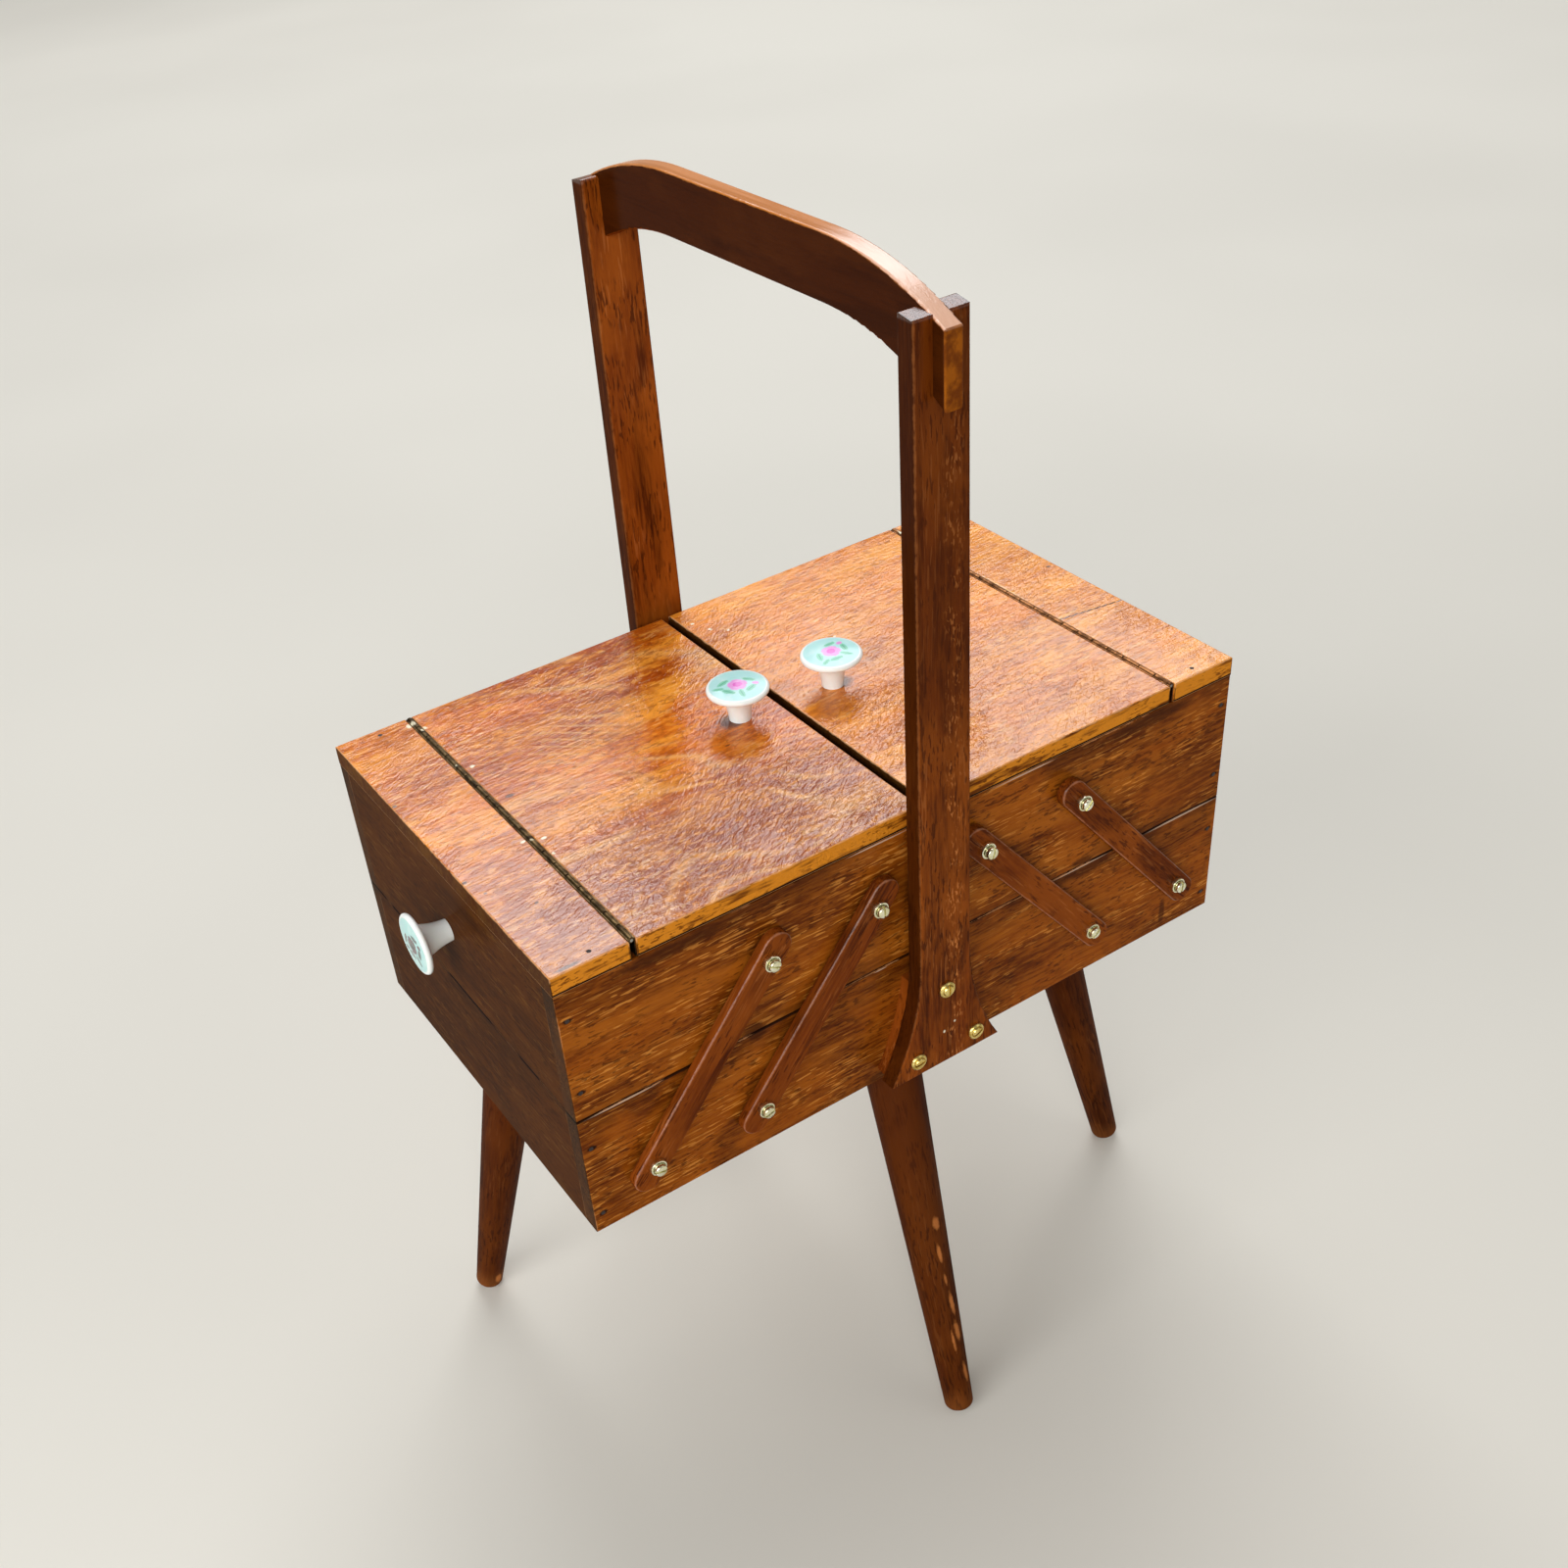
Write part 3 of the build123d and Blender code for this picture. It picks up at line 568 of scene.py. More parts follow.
def dressHardwood(name, direction, seed, rimSpace=None, rimWidth=0.0011, rimAmount=0.5,
                  rimHue="rub", red=0.0, deepen=0.0, calm=0.0, patches=(), rays=None, specks=(),
                  darkAbove=None, paintedSideShade=0.0, paintedTopLight=0.0, sawnBeyond=None, footWorn=0.0,
                  glossyTop=None):
    look = hardLook
    material, place = newMaterial(name)
    x, y, z = axes(place)
    fibre = use(grain, vector=alongGrain(place, direction, seed), **look["grain"])
    colour = layFibres(groundCoat(look, fibre), look, fibre, look["fibres"], calm)
    for amount, hue in ((red, "red"), (deepen, "side")):
        if amount:
            colour = blend(amount, colour, look[hue])
    colour = stain(place, colour, patches, look["rub"], 0.75)
    if rays:
        colour = pithRays(place, x - rays / 1000, colour, look)
        colour = stain(place, colour, specks, plyLook["cream"], 0.95, 0.8)
    # darker towards the top; on the legs this is painted shade beneath the box
    if darkAbove:
        colour = blend(over(z, darkAbove, 0.0, 0.5), colour, look["dark"])
    coat = look["coat"]
    if rimSpace:
        rim, low, high = rimSpace(x, y, z)
        depth = axes(rim)[0]
        # painted shade: the side faces and their arrises, which get little light, are darkened
        if paintedSideShade:
            side = over(abs(x), look["barSide"]) if paintedTopLight else over(depth, look["arris"])
            colour = paint(colour, look["side"], side, paintedSideShade)
        wear = use(edges, vector=rim, low=low, high=high, width=rimWidth, Break=0.6)["Edge"]
        colour = paint(colour, look[rimHue], wear, rimAmount)
        # painted light: the top face is painted lighter, and paler still towards the front end, a painted
        # highlight
        if paintedTopLight:
            topHue = blend(fade(fibre["Bands"], 0.42, 0.62), look["top"], look["topGold"])
            topHue = blend(over(y, look["paleFrom"], 0.0, 0.7), topHue, look["topPale"])
            upper = over(depth, look["barTop"])
            colour = paint(colour, topHue, upper, paintedTopLight)
            coat = fade(upper, 0.0, 1.0, look["coat"], look["glossy"])
        if rimHue == "armRub":
            coat = over(depth, look["arris"], look["coat"], look["armGloss"])
    if glossyTop:
        coat = over(z, glossyTop, look["coat"], look["glossy"])
    if sawnBeyond:
        sawn = over(abs(y), (sawnBeyond - 0.4, sawnBeyond))
        rings = fade(noise(place, 130.0, 3.0, 0.6), 0.38, 0.62)
        colour = paint(colour, blend(rings, look["endGrain"], look["endDark"]), sawn, 0.9)
    if footWorn:
        worn = fade(z + fibre["Mottle"] * -0.03, *look["wornTo"])
        colour = paint(colour, look["rub"], worn, footWorn)
    dress(name, varnished(material, place, colour, fibre, look, coat))


def makePlainWood(name, pale, dark, seed, direction=(1, 0, 0)):
    material, place = newMaterial(name)
    fibre = use(grain, vector=alongGrain(place, direction, seed), bands=60.0, streaks=560.0,
                mottling=18.0)
    colour = blend(fade(fibre["Bands"], 0.35, 0.68), dark, pale)
    colour = paint(colour, dark, fibre["Flecks"], 0.5)
    colour = paint(colour, dark, fade(fibre["Mottle"], 0.6, 0.3), 0.4)
    rough = fade(fibre["Mottle"], 0.3, 0.7, 0.55, 0.72)
    return finishMaterial(material, colour, rough, fibre["Streaks"], 0.3, 0.0002)


def makeMetal(name, bright, dull, tarnish, rough=(0.22, 0.45), flecks=()):
    material, place = newMaterial(name)
    cloud = noise(place, 260.0, 4.0, 0.65)
    colour = blend(fade(cloud, 0.35, 0.65), bright, dull)
    grime = fade(noise(place, 620.0, 3.0, 0.7), 0.60, 0.78)
    colour = paint(colour, tarnish, grime, 0.55)
    metallic = 1.0
    if flecks:
        painted = stain(place, (0, 0, 0, 1), flecks, (1, 1, 1, 1), 1.0, 0.9)
        colour = blend(painted, colour, plyLook["cream"])
        metallic = 1.0 - painted
    return finishMaterial(material, colour, fade(cloud, 0.3, 0.7, *rough),
                          noise(place, 1700.0, 3.0, 0.6), 0.12, 0.0001, Metallic=metallic)


# a leaf or petal is x, y, its turn, and half its length and width, in the disc's own plane
sprigLook = {
    "glaze": tone(244, 246, 240), "face": tone(178, 226, 222), "petal": tone(222, 84, 190),
    "petalPale": tone(232, 146, 214), "leaf": tone(112, 196, 158), "leafDark": tone(70, 154, 124),
    "wornPetal": tone(104, 78, 84), "wornLeaf": tone(88, 92, 84),
    "spread": 1.3, "discRadius": 17.0, "discLevel": 20.0, "rim": 2.3, "vein": (0.8, 0.22),
    "leaves": [(-5.4, 3.0, -35, 3.3, 1.4), (5.3, 2.7, 30, 3.2, 1.35), (-4.6, -4.0, 40, 3.4, 1.45),
               (4.8, -3.9, -42, 3.3, 1.45), (0.4, -6.6, 84, 3.0, 1.2), (-8.2, -0.8, 10, 2.6, 1.1)],
    "petals": [(0.0, 2.5, 0, 2.4, 1.8), (2.4, 0.6, 70, 2.3, 1.8), (1.4, -2.0, 140, 2.3, 1.8),
               (-1.6, -2.0, 40, 2.3, 1.8), (-2.4, 0.7, 110, 2.3, 1.8), (7.4, -0.8, 20, 1.6, 1.2)],
    "heart": [(0.0, 0.1, 0, 2.2, 1.9)],
}


def dressPorcelain(name, centre, axis, turn, worn=False):
    look = sprigLook
    material, place = newMaterial(name)
    # into the disc's own plane, its axis along Z
    moved = vec("SUBTRACT", place, mm(*centre))
    if axis != "z":
        moved = spun(moved, radians(90 if axis == "x" else -90), "Y_AXIS")
    x, y, z = axes(spun(moved, radians(turn)))
    flat = joined(place.tree, x, y)
    onDisc = over(z, (look["discLevel"] - 0.8, look["discLevel"] - 0.2))
    radius = look["discRadius"]
    rim = over(vec("LENGTH", flat), (radius - look["rim"] + 1.0, radius - look["rim"]))
    cloud = noise(place, 150.0)
    colour = blend(onDisc * rim, look["glaze"], look["face"])
    colour = paint(colour, look["glaze"], fade(cloud, 0.5, 0.8), 0.25)
    veins = [(right, up, angle, length * look["vein"][0], width * look["vein"][1])
             for right, up, angle, length, width in look["leaves"]]
    coats = ((look["leaves"], "leaf", "wornLeaf", 0.85), (veins, "leafDark", "wornPetal", 0.7),
             (look["petals"], "petalPale", "wornPetal", 0.95), (look["heart"], "petal", "wornLeaf", 0.95))
    for ovals, fresh, rubbed, strength in coats:
        for right, up, angle, length, width in ovals:
            right, up, length, width = (size * look["spread"] for size in (right, up, length, width))
            mask = use(oval, vector=flat, centre=mm(right, up, 0), turn=radians(angle),
                       size=mm(length, width, 50))["Oval"]
            colour = paint(colour, look[rubbed if worn else fresh], mask * onDisc, strength)
    dress(name, finishMaterial(material, colour, fade(cloud, 0.3, 0.7, 0.10, 0.20),
                               noise(place, 700.0), 0.05, 0.0001, coat=0.1, Coat_Roughness=0.06,
                               Specular_IOR_Level=0.3, Subsurface_Weight=0.05))


# where the boards' nails are filled over, and the marks on the boards
boards = {
    "lowerNails": {"x": (-204.6, 204.6), "z": (236.6, 282.8), "size": (3.6, 2.5, 1.9)},
    "lowerGrime": onFront((173.4, 237.0, 3.0, 4.0, 12.0), (-106.0, 301.0, 7.0, 4.0, 4.5),
                          (112.0, 300.0, 26.0, 4.0, 6.0), (-32.0, 228.0, 12.0, 4.0, 4.0)),
    # pale lines on the boards' top rims: part worn edge, part painted highlight
    "lowerScratches": onFront((-184.0, 302.4, 24.0, 3.0, 0.6), (-29.3, 302.2, 5.0, 3.0, 0.5),
                              (106.0, 302.4, 26.0, 3.0, 0.5), (182.0, 302.4, 34.0, 3.0, 0.65)),
    "rimScratches": {"left": onFront((-28.0, 383.0, 22.0, 3.0, 0.5)),
                     "right": onFront((66.0, 383.0, 24.0, 3.0, 0.55))},
    "trayNails": (320.8, 366.4), "endShade": 0.85,
}
endX, endY, middleX = box["insideEnd"], box["insideY"], box["insideMiddle"]
lowerInside = ((-endX, -endY, 220), (endX, endY, 310))
trayInside = {"left": ((-endX, -endY, 300), (-middleX, endY, 390)),
              "right": ((middleX, -endY, 300), (endX, endY, 390))}
filled = boards["lowerNails"]
lowerSpots = [((x, y * box["front"], z), filled["size"]) for x in filled["x"]
              for y in faces.values() for z in filled["z"]]
# the seeds give each board its own stretch of wood
for face, y in faces.items():
    isFront = y < 0
    dressBoard(f"lower_{face}_board", 3 + y, rawBox=lowerInside, spots=lowerSpots,
               grime=boards["lowerGrime"] if isFront else (),
               scratchesAndHighlights=boards["lowerScratches"] if isFront else ())
for side, x in sides.items():
    for face, y in faces.items():
        dressBoard(f"{side}_tray_{face}_board", 11 + 3 * x + y, rawBox=trayInside[side],
                   spots=onFront(*((x * 204.8, z, 3.4, 2.5, 1.8) for z in boards["trayNails"]), face=y),
                   grime=onFront((x * 108.0, 305.5, 9.0, 4.0, 5.0),
                                 (x * 150.0, 379.0, 44.0, 4.0, 5.0), face=y),
                   scratchesAndHighlights=boards["rimScratches"][side] if y < 0 else ())
    for part, seed, raw in (("tray_outer_end", 21, trayInside[side]),
                            ("tray_inner_end", 21, trayInside[side]), ("lower_end", 27, lowerInside)):
        dressBoard(f"{side}_{part}", seed + 2 * x, direction=(0, 1, 0), rawBox=raw,
                   shade=boards["endShade"])
print("boards dressed")

# each lid's and strip's own wood, and the marks on it
# the larger dark spot on each lid lies round and under its knob
lids = {
    "left": {"seed": 5, "lined": 0.42, "frontDeep": 0.75, "wrinkled": ((-52, -88, 394.5), (90, 62, 30)),
             "darkMarks": onTop((-157.2, 17.8, 3.4, 1.9, 3.0), (-31.0, 2.0, 11.0, 9.0, 3.0),
                           (-46.0, -16.0, 2.2, 0.8, 2.0)),
             "flecks": onTop((-160.1, 54.8, 1.8, 1.7, 2), (-160.7, -25.8, 2.3, 1.4, 2),
                             (-163.0, -40.0, 1.2, 1.3, 2), (-163.6, 106.0, 1.5, 2.0, 2))},
    "right": {"seed": 8, "lined": 0.15, "tintAndPaintedLight": 0.28, "frontDeep": 0.1,
              "wrinkled": ((34, -62, 394.5), (50, 60, 30)),
              "darkMarks": onTop((36.0, -4.0, 9.0, 7.5, 3.0), (92.0, -25.0, 2.4, 0.9, 2)),
              "flecks": onTop((8.0, 104.0, 1.6, 1.3, 2), (12.5, 92.0, 1.2, 1.6, 2),
                              (20.0, 84.0, 1.1, 1.0, 2), (62.0, 38.0, 1.2, 0.9, 2))},
}
strips = {
    "left": {"seed": 5.3, "tintAndPaintedLight": 0.1, "frontDeep": 0.65,
             "darkMarks": onTop((-208.2, 47.8, 1.8, 1.6, 3), (-208.3, -33.3, 1.9, 1.6, 3),
                           (-204.0, -47.0, 1.3, 1.0, 3), (-188.0, -69.0, 1.6, 1.2, 3),
                           (-199.0, -119.0, 9.0, 1.6, 3)),
             "flecks": onTop((-169.9, 113.0, 1.9, 2.8, 2), (-170.4, -22.0, 1.9, 1.4, 2))},
    "right": {"seed": 8.6, "tintAndPaintedLight": 0.4,
              "darkMarks": onTop((205.0, 20.0, 2.0, 1.4, 3), (172.0, 62.0, 1.5, 1.2, 3)),
              "joins": onTop(*((188.0 + 4.9 * k, -34.2 - 0.76 * k, 3.8, 0.85, 3) for k in range(-4, 5))),
              "scratchesAndHighlights": onTop((173.0, -29.5, 11.0, 1.6, 3), (168.6, 20.0, 1.6, 26.0, 3))},
}
for side in sides:
    dressPly(f"{side}_lid", **lids[side])
    dressPly(f"{side}_top_strip", **strips[side])
print("lids and strips dressed")

# how the swing arms stand when the carrier is shut
arms = {"lean": radians(39.3), "span": 119.8, "lowerX": 175.1, "spacing": 65.0,
        "level": {"left": 257.6, "right": 261.5}, "hidden": 100, "face": 128.9, "halfLength": 76.4,
        "halfWidth": 8.15, "rubWidth": 1.0, "rub": 0.32, "deepen": 0.12, "red": 0.2}
swingX = arms["span"] * sin(arms["lean"])
swingZ = arms["span"] * cos(arms["lean"])
# the uprights' waist and flare and the crossbar's bow
handle = {"waist": 305, "flareLength": 72.2, "flareReach": 19.9, "halfWidth": 16.3, "back": 127.9,
          "face": 138.9, "barLevel": 62, "barFall": 84.4, "barDrop": 20.6, "barTop": 659.3,
          "barHalf": 5}
flarePower, uprightTaper = 1.93, 0.0044
farLow, farHigh = -1000, 1000     # sides of a box that never show an edge


def armRim(middleX, middleZ, face, lean):
    # how deep a point lies under an arm's outline, how far across its thickness, and how far along
    halfWidth = arms["halfWidth"] / 1000
    straight = (arms["halfLength"] - arms["halfWidth"]) / 1000

    def space(x, y, z):
        x, z = x - middleX / 1000, z - middleZ / 1000
        along = x * sin(lean) + z * cos(lean)
        across = x * cos(lean) - z * sin(lean)
        past = larger(abs(along) - straight, 0.0)
        depth = halfWidth - calc("SQRT", past * past + across * across)
        rim = joined(depth.tree, depth, y * face, along)
        return rim, mm(0, arms["hidden"], farLow), mm(farHigh, arms["face"], farHigh)
    return space


def uprightRim(x, y, z):
    # the outline flares out below the waist
    waist, length, reach, width = mm(handle["waist"], handle["flareLength"], handle["flareReach"],
                                     handle["halfWidth"])
    flare = larger((waist - z) / length, 0.0)
    half = calc("POWER", flare, flarePower) * reach + (width - (z - waist) * uprightTaper)
    rim = joined(z.tree, half - abs(x), abs(y), z)
    return rim, mm(0, handle["back"], farLow), mm(farHigh, handle["face"], farHigh)


def crossbarRim(x, y, z):
    # the top edge stays level in the middle and bows down towards the uprights
    level, fall, drop, top = mm(handle["barLevel"], handle["barFall"], handle["barDrop"],
                                handle["barTop"])
    past = larger((abs(y) - level) / fall, 0.0)
    rim = joined(z.tree, top - past * past * drop - z, x, y)
    half = handle["barHalf"]
    return rim, mm(0, -half, farLow), mm(farHigh, half, farHigh)


for side, x in sides.items():
    for row, part in enumerate(("outer", "inner")):
        for face, y in faces.items():
            middleX = x * (arms["lowerX"] - row * arms["spacing"]) - x * swingX / 2
            lean = -x * arms["lean"]
            # the arms' rims are painted pale, part rubbed edge and part painted highlight
            dressHardwood(f"{side}_{part}_arm_{face}", (sin(lean), 0, cos(lean)),
                          seed=31 + 5 * x + 2 * row + y,
                          rimSpace=armRim(middleX, arms["level"][side] + swingZ / 2, y, lean),
                          rimWidth=arms["rubWidth"] / 1000, rimAmount=arms["rub"],
                          rimHue="armRub", red=arms["red"], deepen=arms["deepen"])

uprights = {
    "front": {"seed": 40, "deepen": 0.15, "rays": 5.5, "darkAbove": (395, 470),
              "specks": [((-1.6, -138.9, 255.6), (1.0, 2, 1.2)), ((5.4, -138.9, 259.4), (0.9, 2, 1.0))]},
    "back": {"seed": 42},
}
spacers = {"front": 44, "back": 46}
for face in faces:
    dressHardwood(f"{face}_upright", (0, 0, 1), rimSpace=uprightRim, rimAmount=0.2, red=0.1,
                  paintedSideShade=0.8, glossyTop=(641.4, 642.7), **uprights[face])
    dressHardwood(f"{face}_spacer", (0, 0, 1), spacers[face], red=0.3)
dressHardwood("crossbar", (0, 1, 0), 47, crossbarRim, rimAmount=0.4, sawnBeyond=146.0, paintedTopLight=0.8,
              paintedSideShade=0.9, calm=0.75)

# the direction runs up the leg, and the patches are where its varnish is rubbed through
legs = {
    "left": {"direction": (41.2, -33.4, 225), "seed": 51, "footWorn": 0.2,
             "patches": [((-211.5, 61.6, 9), (3, 4, 6))]},
    "right": {"direction": (-41.2, 33.4, 225), "seed": 52, "footWorn": 0.15},
    "front": {"direction": (16.2, 83.2, 225), "seed": 53, "footWorn": 0.1,
              "patches": [((-19.6, -151.7, 126.6), (3.0, 5, 6)), ((-22.0, -157.6, 107.7), (1.8, 5, 9)),
                          ((-22.4, -162.0, 90.0), (1.5, 5, 7)), ((-22.0, -168.6, 72.8), (2.2, 5, 13)),
                          ((-23.0, -174.2, 54.0), (2.6, 5, 12)), ((-27.0, -176.0, 44.0), (1.5, 5, 18)),
                          ((-24.2, -183.0, 26.0), (2.2, 5, 12))]},
    "back": {"direction": (-16.2, -83.2, 225), "seed": 54, "footWorn": 0.2},
}
for side, leg in legs.items():
    # painted shade: each leg darkens towards its top, beneath the box
    dressHardwood(f"{side}_leg", deepen=0.72, darkAbove=(90, 200), **leg)
# bare wood that shows only from below or inside
plain = {"pale": tone(190, 148, 98), "dark": tone(140, 98, 58),
         "panels": ("long_batten", "cross_batten", "lower_panel", "left_tray_panel", "right_tray_panel")}
for k, name in enumerate(plain["panels"]):
    dress(name, makePlainWood(name, plain["pale"], plain["dark"], 61 + k,
                              (0, 1, 0) if name == "cross_batten" else (1, 0, 0)))
print("arms, uprights and legs dressed")

# pale marks on the hinges: cream paint flecks on the left one; long pale streaks on the right one's back
# half, part scratch, part painted highlight
hingeFlecksAndHighlights = onTop((-166.8, 113.5, 1.6, 3.2, 2), (-166.0, 104.0, 1.2, 1.6, 2),
                    (-166.4, -24.0, 1.5, 1.5, 2), (-166.6, 60.0, 1.0, 1.2, 2),
                    (166.5, 112.0, 1.2, 4.0, 2), (166.3, 96.0, 0.7, 9.0, 2),
                    (166.2, 70.0, 0.6, 7.0, 2), level=394.3)
# bright, dull and tarnished tones, the range of roughness, and any pale marks: paint flecks and painted
# highlights
metals = {
    "cup_brass": ((238, 216, 138), (206, 176, 92), (96, 72, 36), (0.18, 0.34)),
    "pivot_metal": ((250, 250, 228), (228, 222, 176), (104, 90, 58), (0.16, 0.32)),
    "plain_steel": ((170, 168, 162), (120, 116, 110), (70, 60, 52), (0.22, 0.45)),
    "hinge_metal": ((104, 84, 54), (46, 33, 20), (18, 12, 7), (0.30, 0.55), hingeFlecksAndHighlights),
    "stained_hinge_metal": ((150, 100, 60), (84, 52, 28), (26, 15, 9), (0.30, 0.55), hingeFlecksAndHighlights),
}
metal = {name: makeMetal(name, *(tone(*hue) for hue in look[:3]), *look[3:])
         for name, look in metals.items()}
hingeLooks = {"left": metal["hinge_metal"], "right": metal["stained_hinge_metal"]}
putty = makePlainWood("nail_putty", tone(46, 26, 18), tone(28, 16, 12), 71)
for name in ("leg_studs", "lower_box_nails"):
    dress(name, metal["plain_steel"])
for name in ("lower_pivot_fixings", "upright_screws"):
    dress(name, metal["pivot_metal"])
for side in sides:
    for part in ("tray_nails", "hinge_pin", "end_knob_screw", "lid_knob_screw"):
        dress(f"{side}_{part}", metal["plain_steel"])
    dress(f"{side}_upper_pivot_fixings", metal["pivot_metal"])
    for part in ("strip", "lid"):
        dress(f"{side}_hinge_{part}_leaf", hingeLooks[side])

knobs = {
    "left_lid_knob": {"centre": (-25.9, 2.2, 394.5), "axis": "z", "turn": 20},
    "right_lid_knob": {"centre": (31.4, -2.7, 394.5), "axis": "z", "turn": -35},
    "left_end_knob": {"centre": (-box["end"], 2.0, 343.5), "axis": "x", "turn": 60, "worn": True},
    "right_end_knob": {"centre": (box["end"], 2.0, 343.5), "axis": "-x", "turn": 10},
}
for name, knob in knobs.items():
    dressPorcelain(name, **knob)
print("metal and porcelain dressed")


def grow(name, seedMesh, tree, inputs, finish):
    # runs a tree on a mesh and keeps the result as a plain piece
    holder = show(name + "Seed", seedMesh)
    modifier = holder.modifiers.new(tree.name, "NODES")
    modifier.node_group = tree
    sockets = {item.name: item.identifier for item in tree.interface.items_tree
               if item.item_type == "SOCKET" and item.in_out == "INPUT"}
    for title, value in {**inputs, "Finish": finish}.items():
        modifier[sockets[title]] = value
    mesh = evaluatedMesh(holder)
    bpy.data.objects.remove(holder)
    mesh.name = name
    return show(name, mesh)


def finished(geometry, material):
    # a tree's end: plain mesh under one material
    solid = put(geometry.tree, "GeometryNodeRealizeInstances", {"Geometry": geometry})[0]
    return put(geometry.tree, "GeometryNodeSetMaterial", {"Geometry": solid, "Material": material})[0]


def gathered(*geometries):
    both = put(geometries[0].tree, "GeometryNodeJoinGeometry")
    for geometry in geometries:
        fill(both.node, {0: geometry})
    return both[0]


def makeFixingTree():
    # sets a cup and a screw, or a dab of putty, on each point of a face
    tree, given = openTree("GeometryNodeTree", "fixingsOnFaces", {
        "Geometry": ("geometry", None), "Cup": ("object", None), "Head": ("object", None),
        "Finish": ("material", None)})
    side, turn, reach = (put(tree, "GeometryNodeInputNamedAttribute", {"Name": name},
                             data_type="FLOAT")[0] for name in ("facing", "slotTurn", "reach"))
    across = abs(side)
    spin = joined(tree, side * (-pi / 2), turn * across, turn * (1.0 - across))
    shapes = []
    for title, outward in (("Cup", 0.0), ("Head", reach)):
        shape = put(tree, "GeometryNodeObjectInfo", {"Object": given[title], "As Instance": True})
        placed = put(tree, "GeometryNodeInstanceOnPoints", {
            "Points": given["Geometry"], "Instance": shape["Geometry"], "Rotation": spin})
        shapes.append(put(tree, "GeometryNodeTranslateInstances", {
            "Instances": placed[0], "Local Space": True, "Translation": joined(tree, z=outward)})[0])
    return closeTree(tree, "geometry", Geometry=finished(gathered(*shapes), given["Finish"]))


def makeHingeTree():
    # every other knuckle of a piano hinge, and the leaf that carries them
    tree, given = openTree("GeometryNodeTree", "pianoHinge", {
        "Geometry": ("geometry", None), "Length": 0.241, "Knuckles": ("int", 20),
        "Which": ("int", 0), "Barrel": 0.0016, "Gap": 0.0005, "Leaf Side": 1.0,
        "Leaf Centre": 0.00155, "Leaf Drop": 0.0047, "Leaf Size": ("vector", (0.0007, 0.241, 0.011)),
        "Centre": ("vector", (0, 0, 0)), "Finish": ("material", None)})
    pitch = given["Length"] / given["Knuckles"]
    start = pitch * (given["Which"] + 0.5) - given["Length"] * 0.5
    row = put(tree, "GeometryNodeMeshLine", {
        "Count": given["Knuckles"] / 2.0, "Start Location": joined(tree, y=start),
        "Offset": joined(tree, y=pitch * 2.0)}, mode="OFFSET")
    tube = put(tree, "GeometryNodeMeshCylinder", {
        "Vertices": 20, "Radius": given["Barrel"], "Depth": pitch - given["Gap"]})
    lying = put(tree, "GeometryNodeTransform", {"Geometry": tube["Mesh"], "Rotation": (pi / 2, 0, 0)})
    knuckles = put(tree, "GeometryNodeInstanceOnPoints", {"Points": row[0], "Instance": lying[0]})
    leaf = put(tree, "GeometryNodeMeshCube", {"Size": given["Leaf Size"]})
    beside = put(tree, "GeometryNodeTransform", {
        "Geometry": leaf["Mesh"],
        "Translation": joined(tree, given["Leaf Side"] * given["Leaf Centre"], 0.0,
                              given["Leaf Drop"] * -1.0)})
    moved = put(tree, "GeometryNodeTransform", {"Geometry": gathered(knuckles[0], beside[0]),
                                                "Translation": given["Centre"]})
    return closeTree(tree, "geometry", Geometry=finished(moved[0], given["Finish"]))


def cutSlot(piece, width, floor, tall=4.0, length=20):
    block = bmesh.new()
    bmesh.ops.create_cube(block, size=1.0)
    for corner in block.verts:
        corner.co = mm(corner.co.x * length, corner.co.y * width,
                       corner.co.z * tall + floor + tall / 2)
    cutter = bpy.data.meshes.new(piece.name + "Slot")
    block.to_mesh(cutter)
    block.free()
    blade = show(piece.name + "Slot", cutter)
    cut = piece.modifiers.new("slot", "BOOLEAN")
    cut.operation, cut.object, cut.solver = "DIFFERENCE", blade, "EXACT"
    slotted = evaluatedMesh(piece)
    piece.modifiers.clear()
    piece.data = slotted
    bpy.data.objects.remove(blade)


def turnedShape(name, profile, steps=40, closed=False, slot=None, sharp=38):
    # spins (radius, height) points round Z, closed where the radius is 0, sharp past an angle
    shape = bmesh.new()
    rings = []
    for radius, height in profile:
        turns = [2 * pi * k / steps for k in range(steps if radius else 1)]
        rings.append([shape.verts.new(mm(radius * cos(turn), radius * sin(turn), height))
                      for turn in turns])
    for lower, upper in list(zip(rings, rings[1:])) + ([(rings[-1], rings[0])] if closed else []):
        for k in range(steps):
            corners = [lower[k % len(lower)], lower[(k + 1) % len(lower)],
                       upper[(k + 1) % len(upper)], upper[k % len(upper)]]
            corners = list(dict.fromkeys(corners))
            if len(corners) > 2:
                shape.faces.new(corners)
    bmesh.ops.recalc_face_normals(shape, faces=shape.faces)
    mesh = bpy.data.meshes.new(name)
    shape.to_mesh(mesh)
    shape.free()
    piece = show(name, mesh)
    if slot:
        cutSlot(piece, *slot)
    for face in piece.data.polygons:
        face.use_smooth = True
    piece.data.set_sharp_from_angle(angle=radians(sharp))
    return piece


def pointsMesh(name, places):
    # places are x, y, z, facing, slot turn in degrees, and reach
    mesh = bpy.data.meshes.new(name)
    mesh.from_pydata([mm(*place[:3]) for place in places], [], [])
    for k, (title, scale) in enumerate((("facing", 1.0), ("slotTurn", -pi / 180), ("reach", 0.001))):
        layer = mesh.attributes.new(title, "FLOAT", "POINT")
        for held, place in zip(layer.data, places):
            held.value = place[3 + k] * scale
    return mesh


def keep(piece, body, replaced=()):
    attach(piece, body)
    if replaced:
        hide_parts(*replaced)


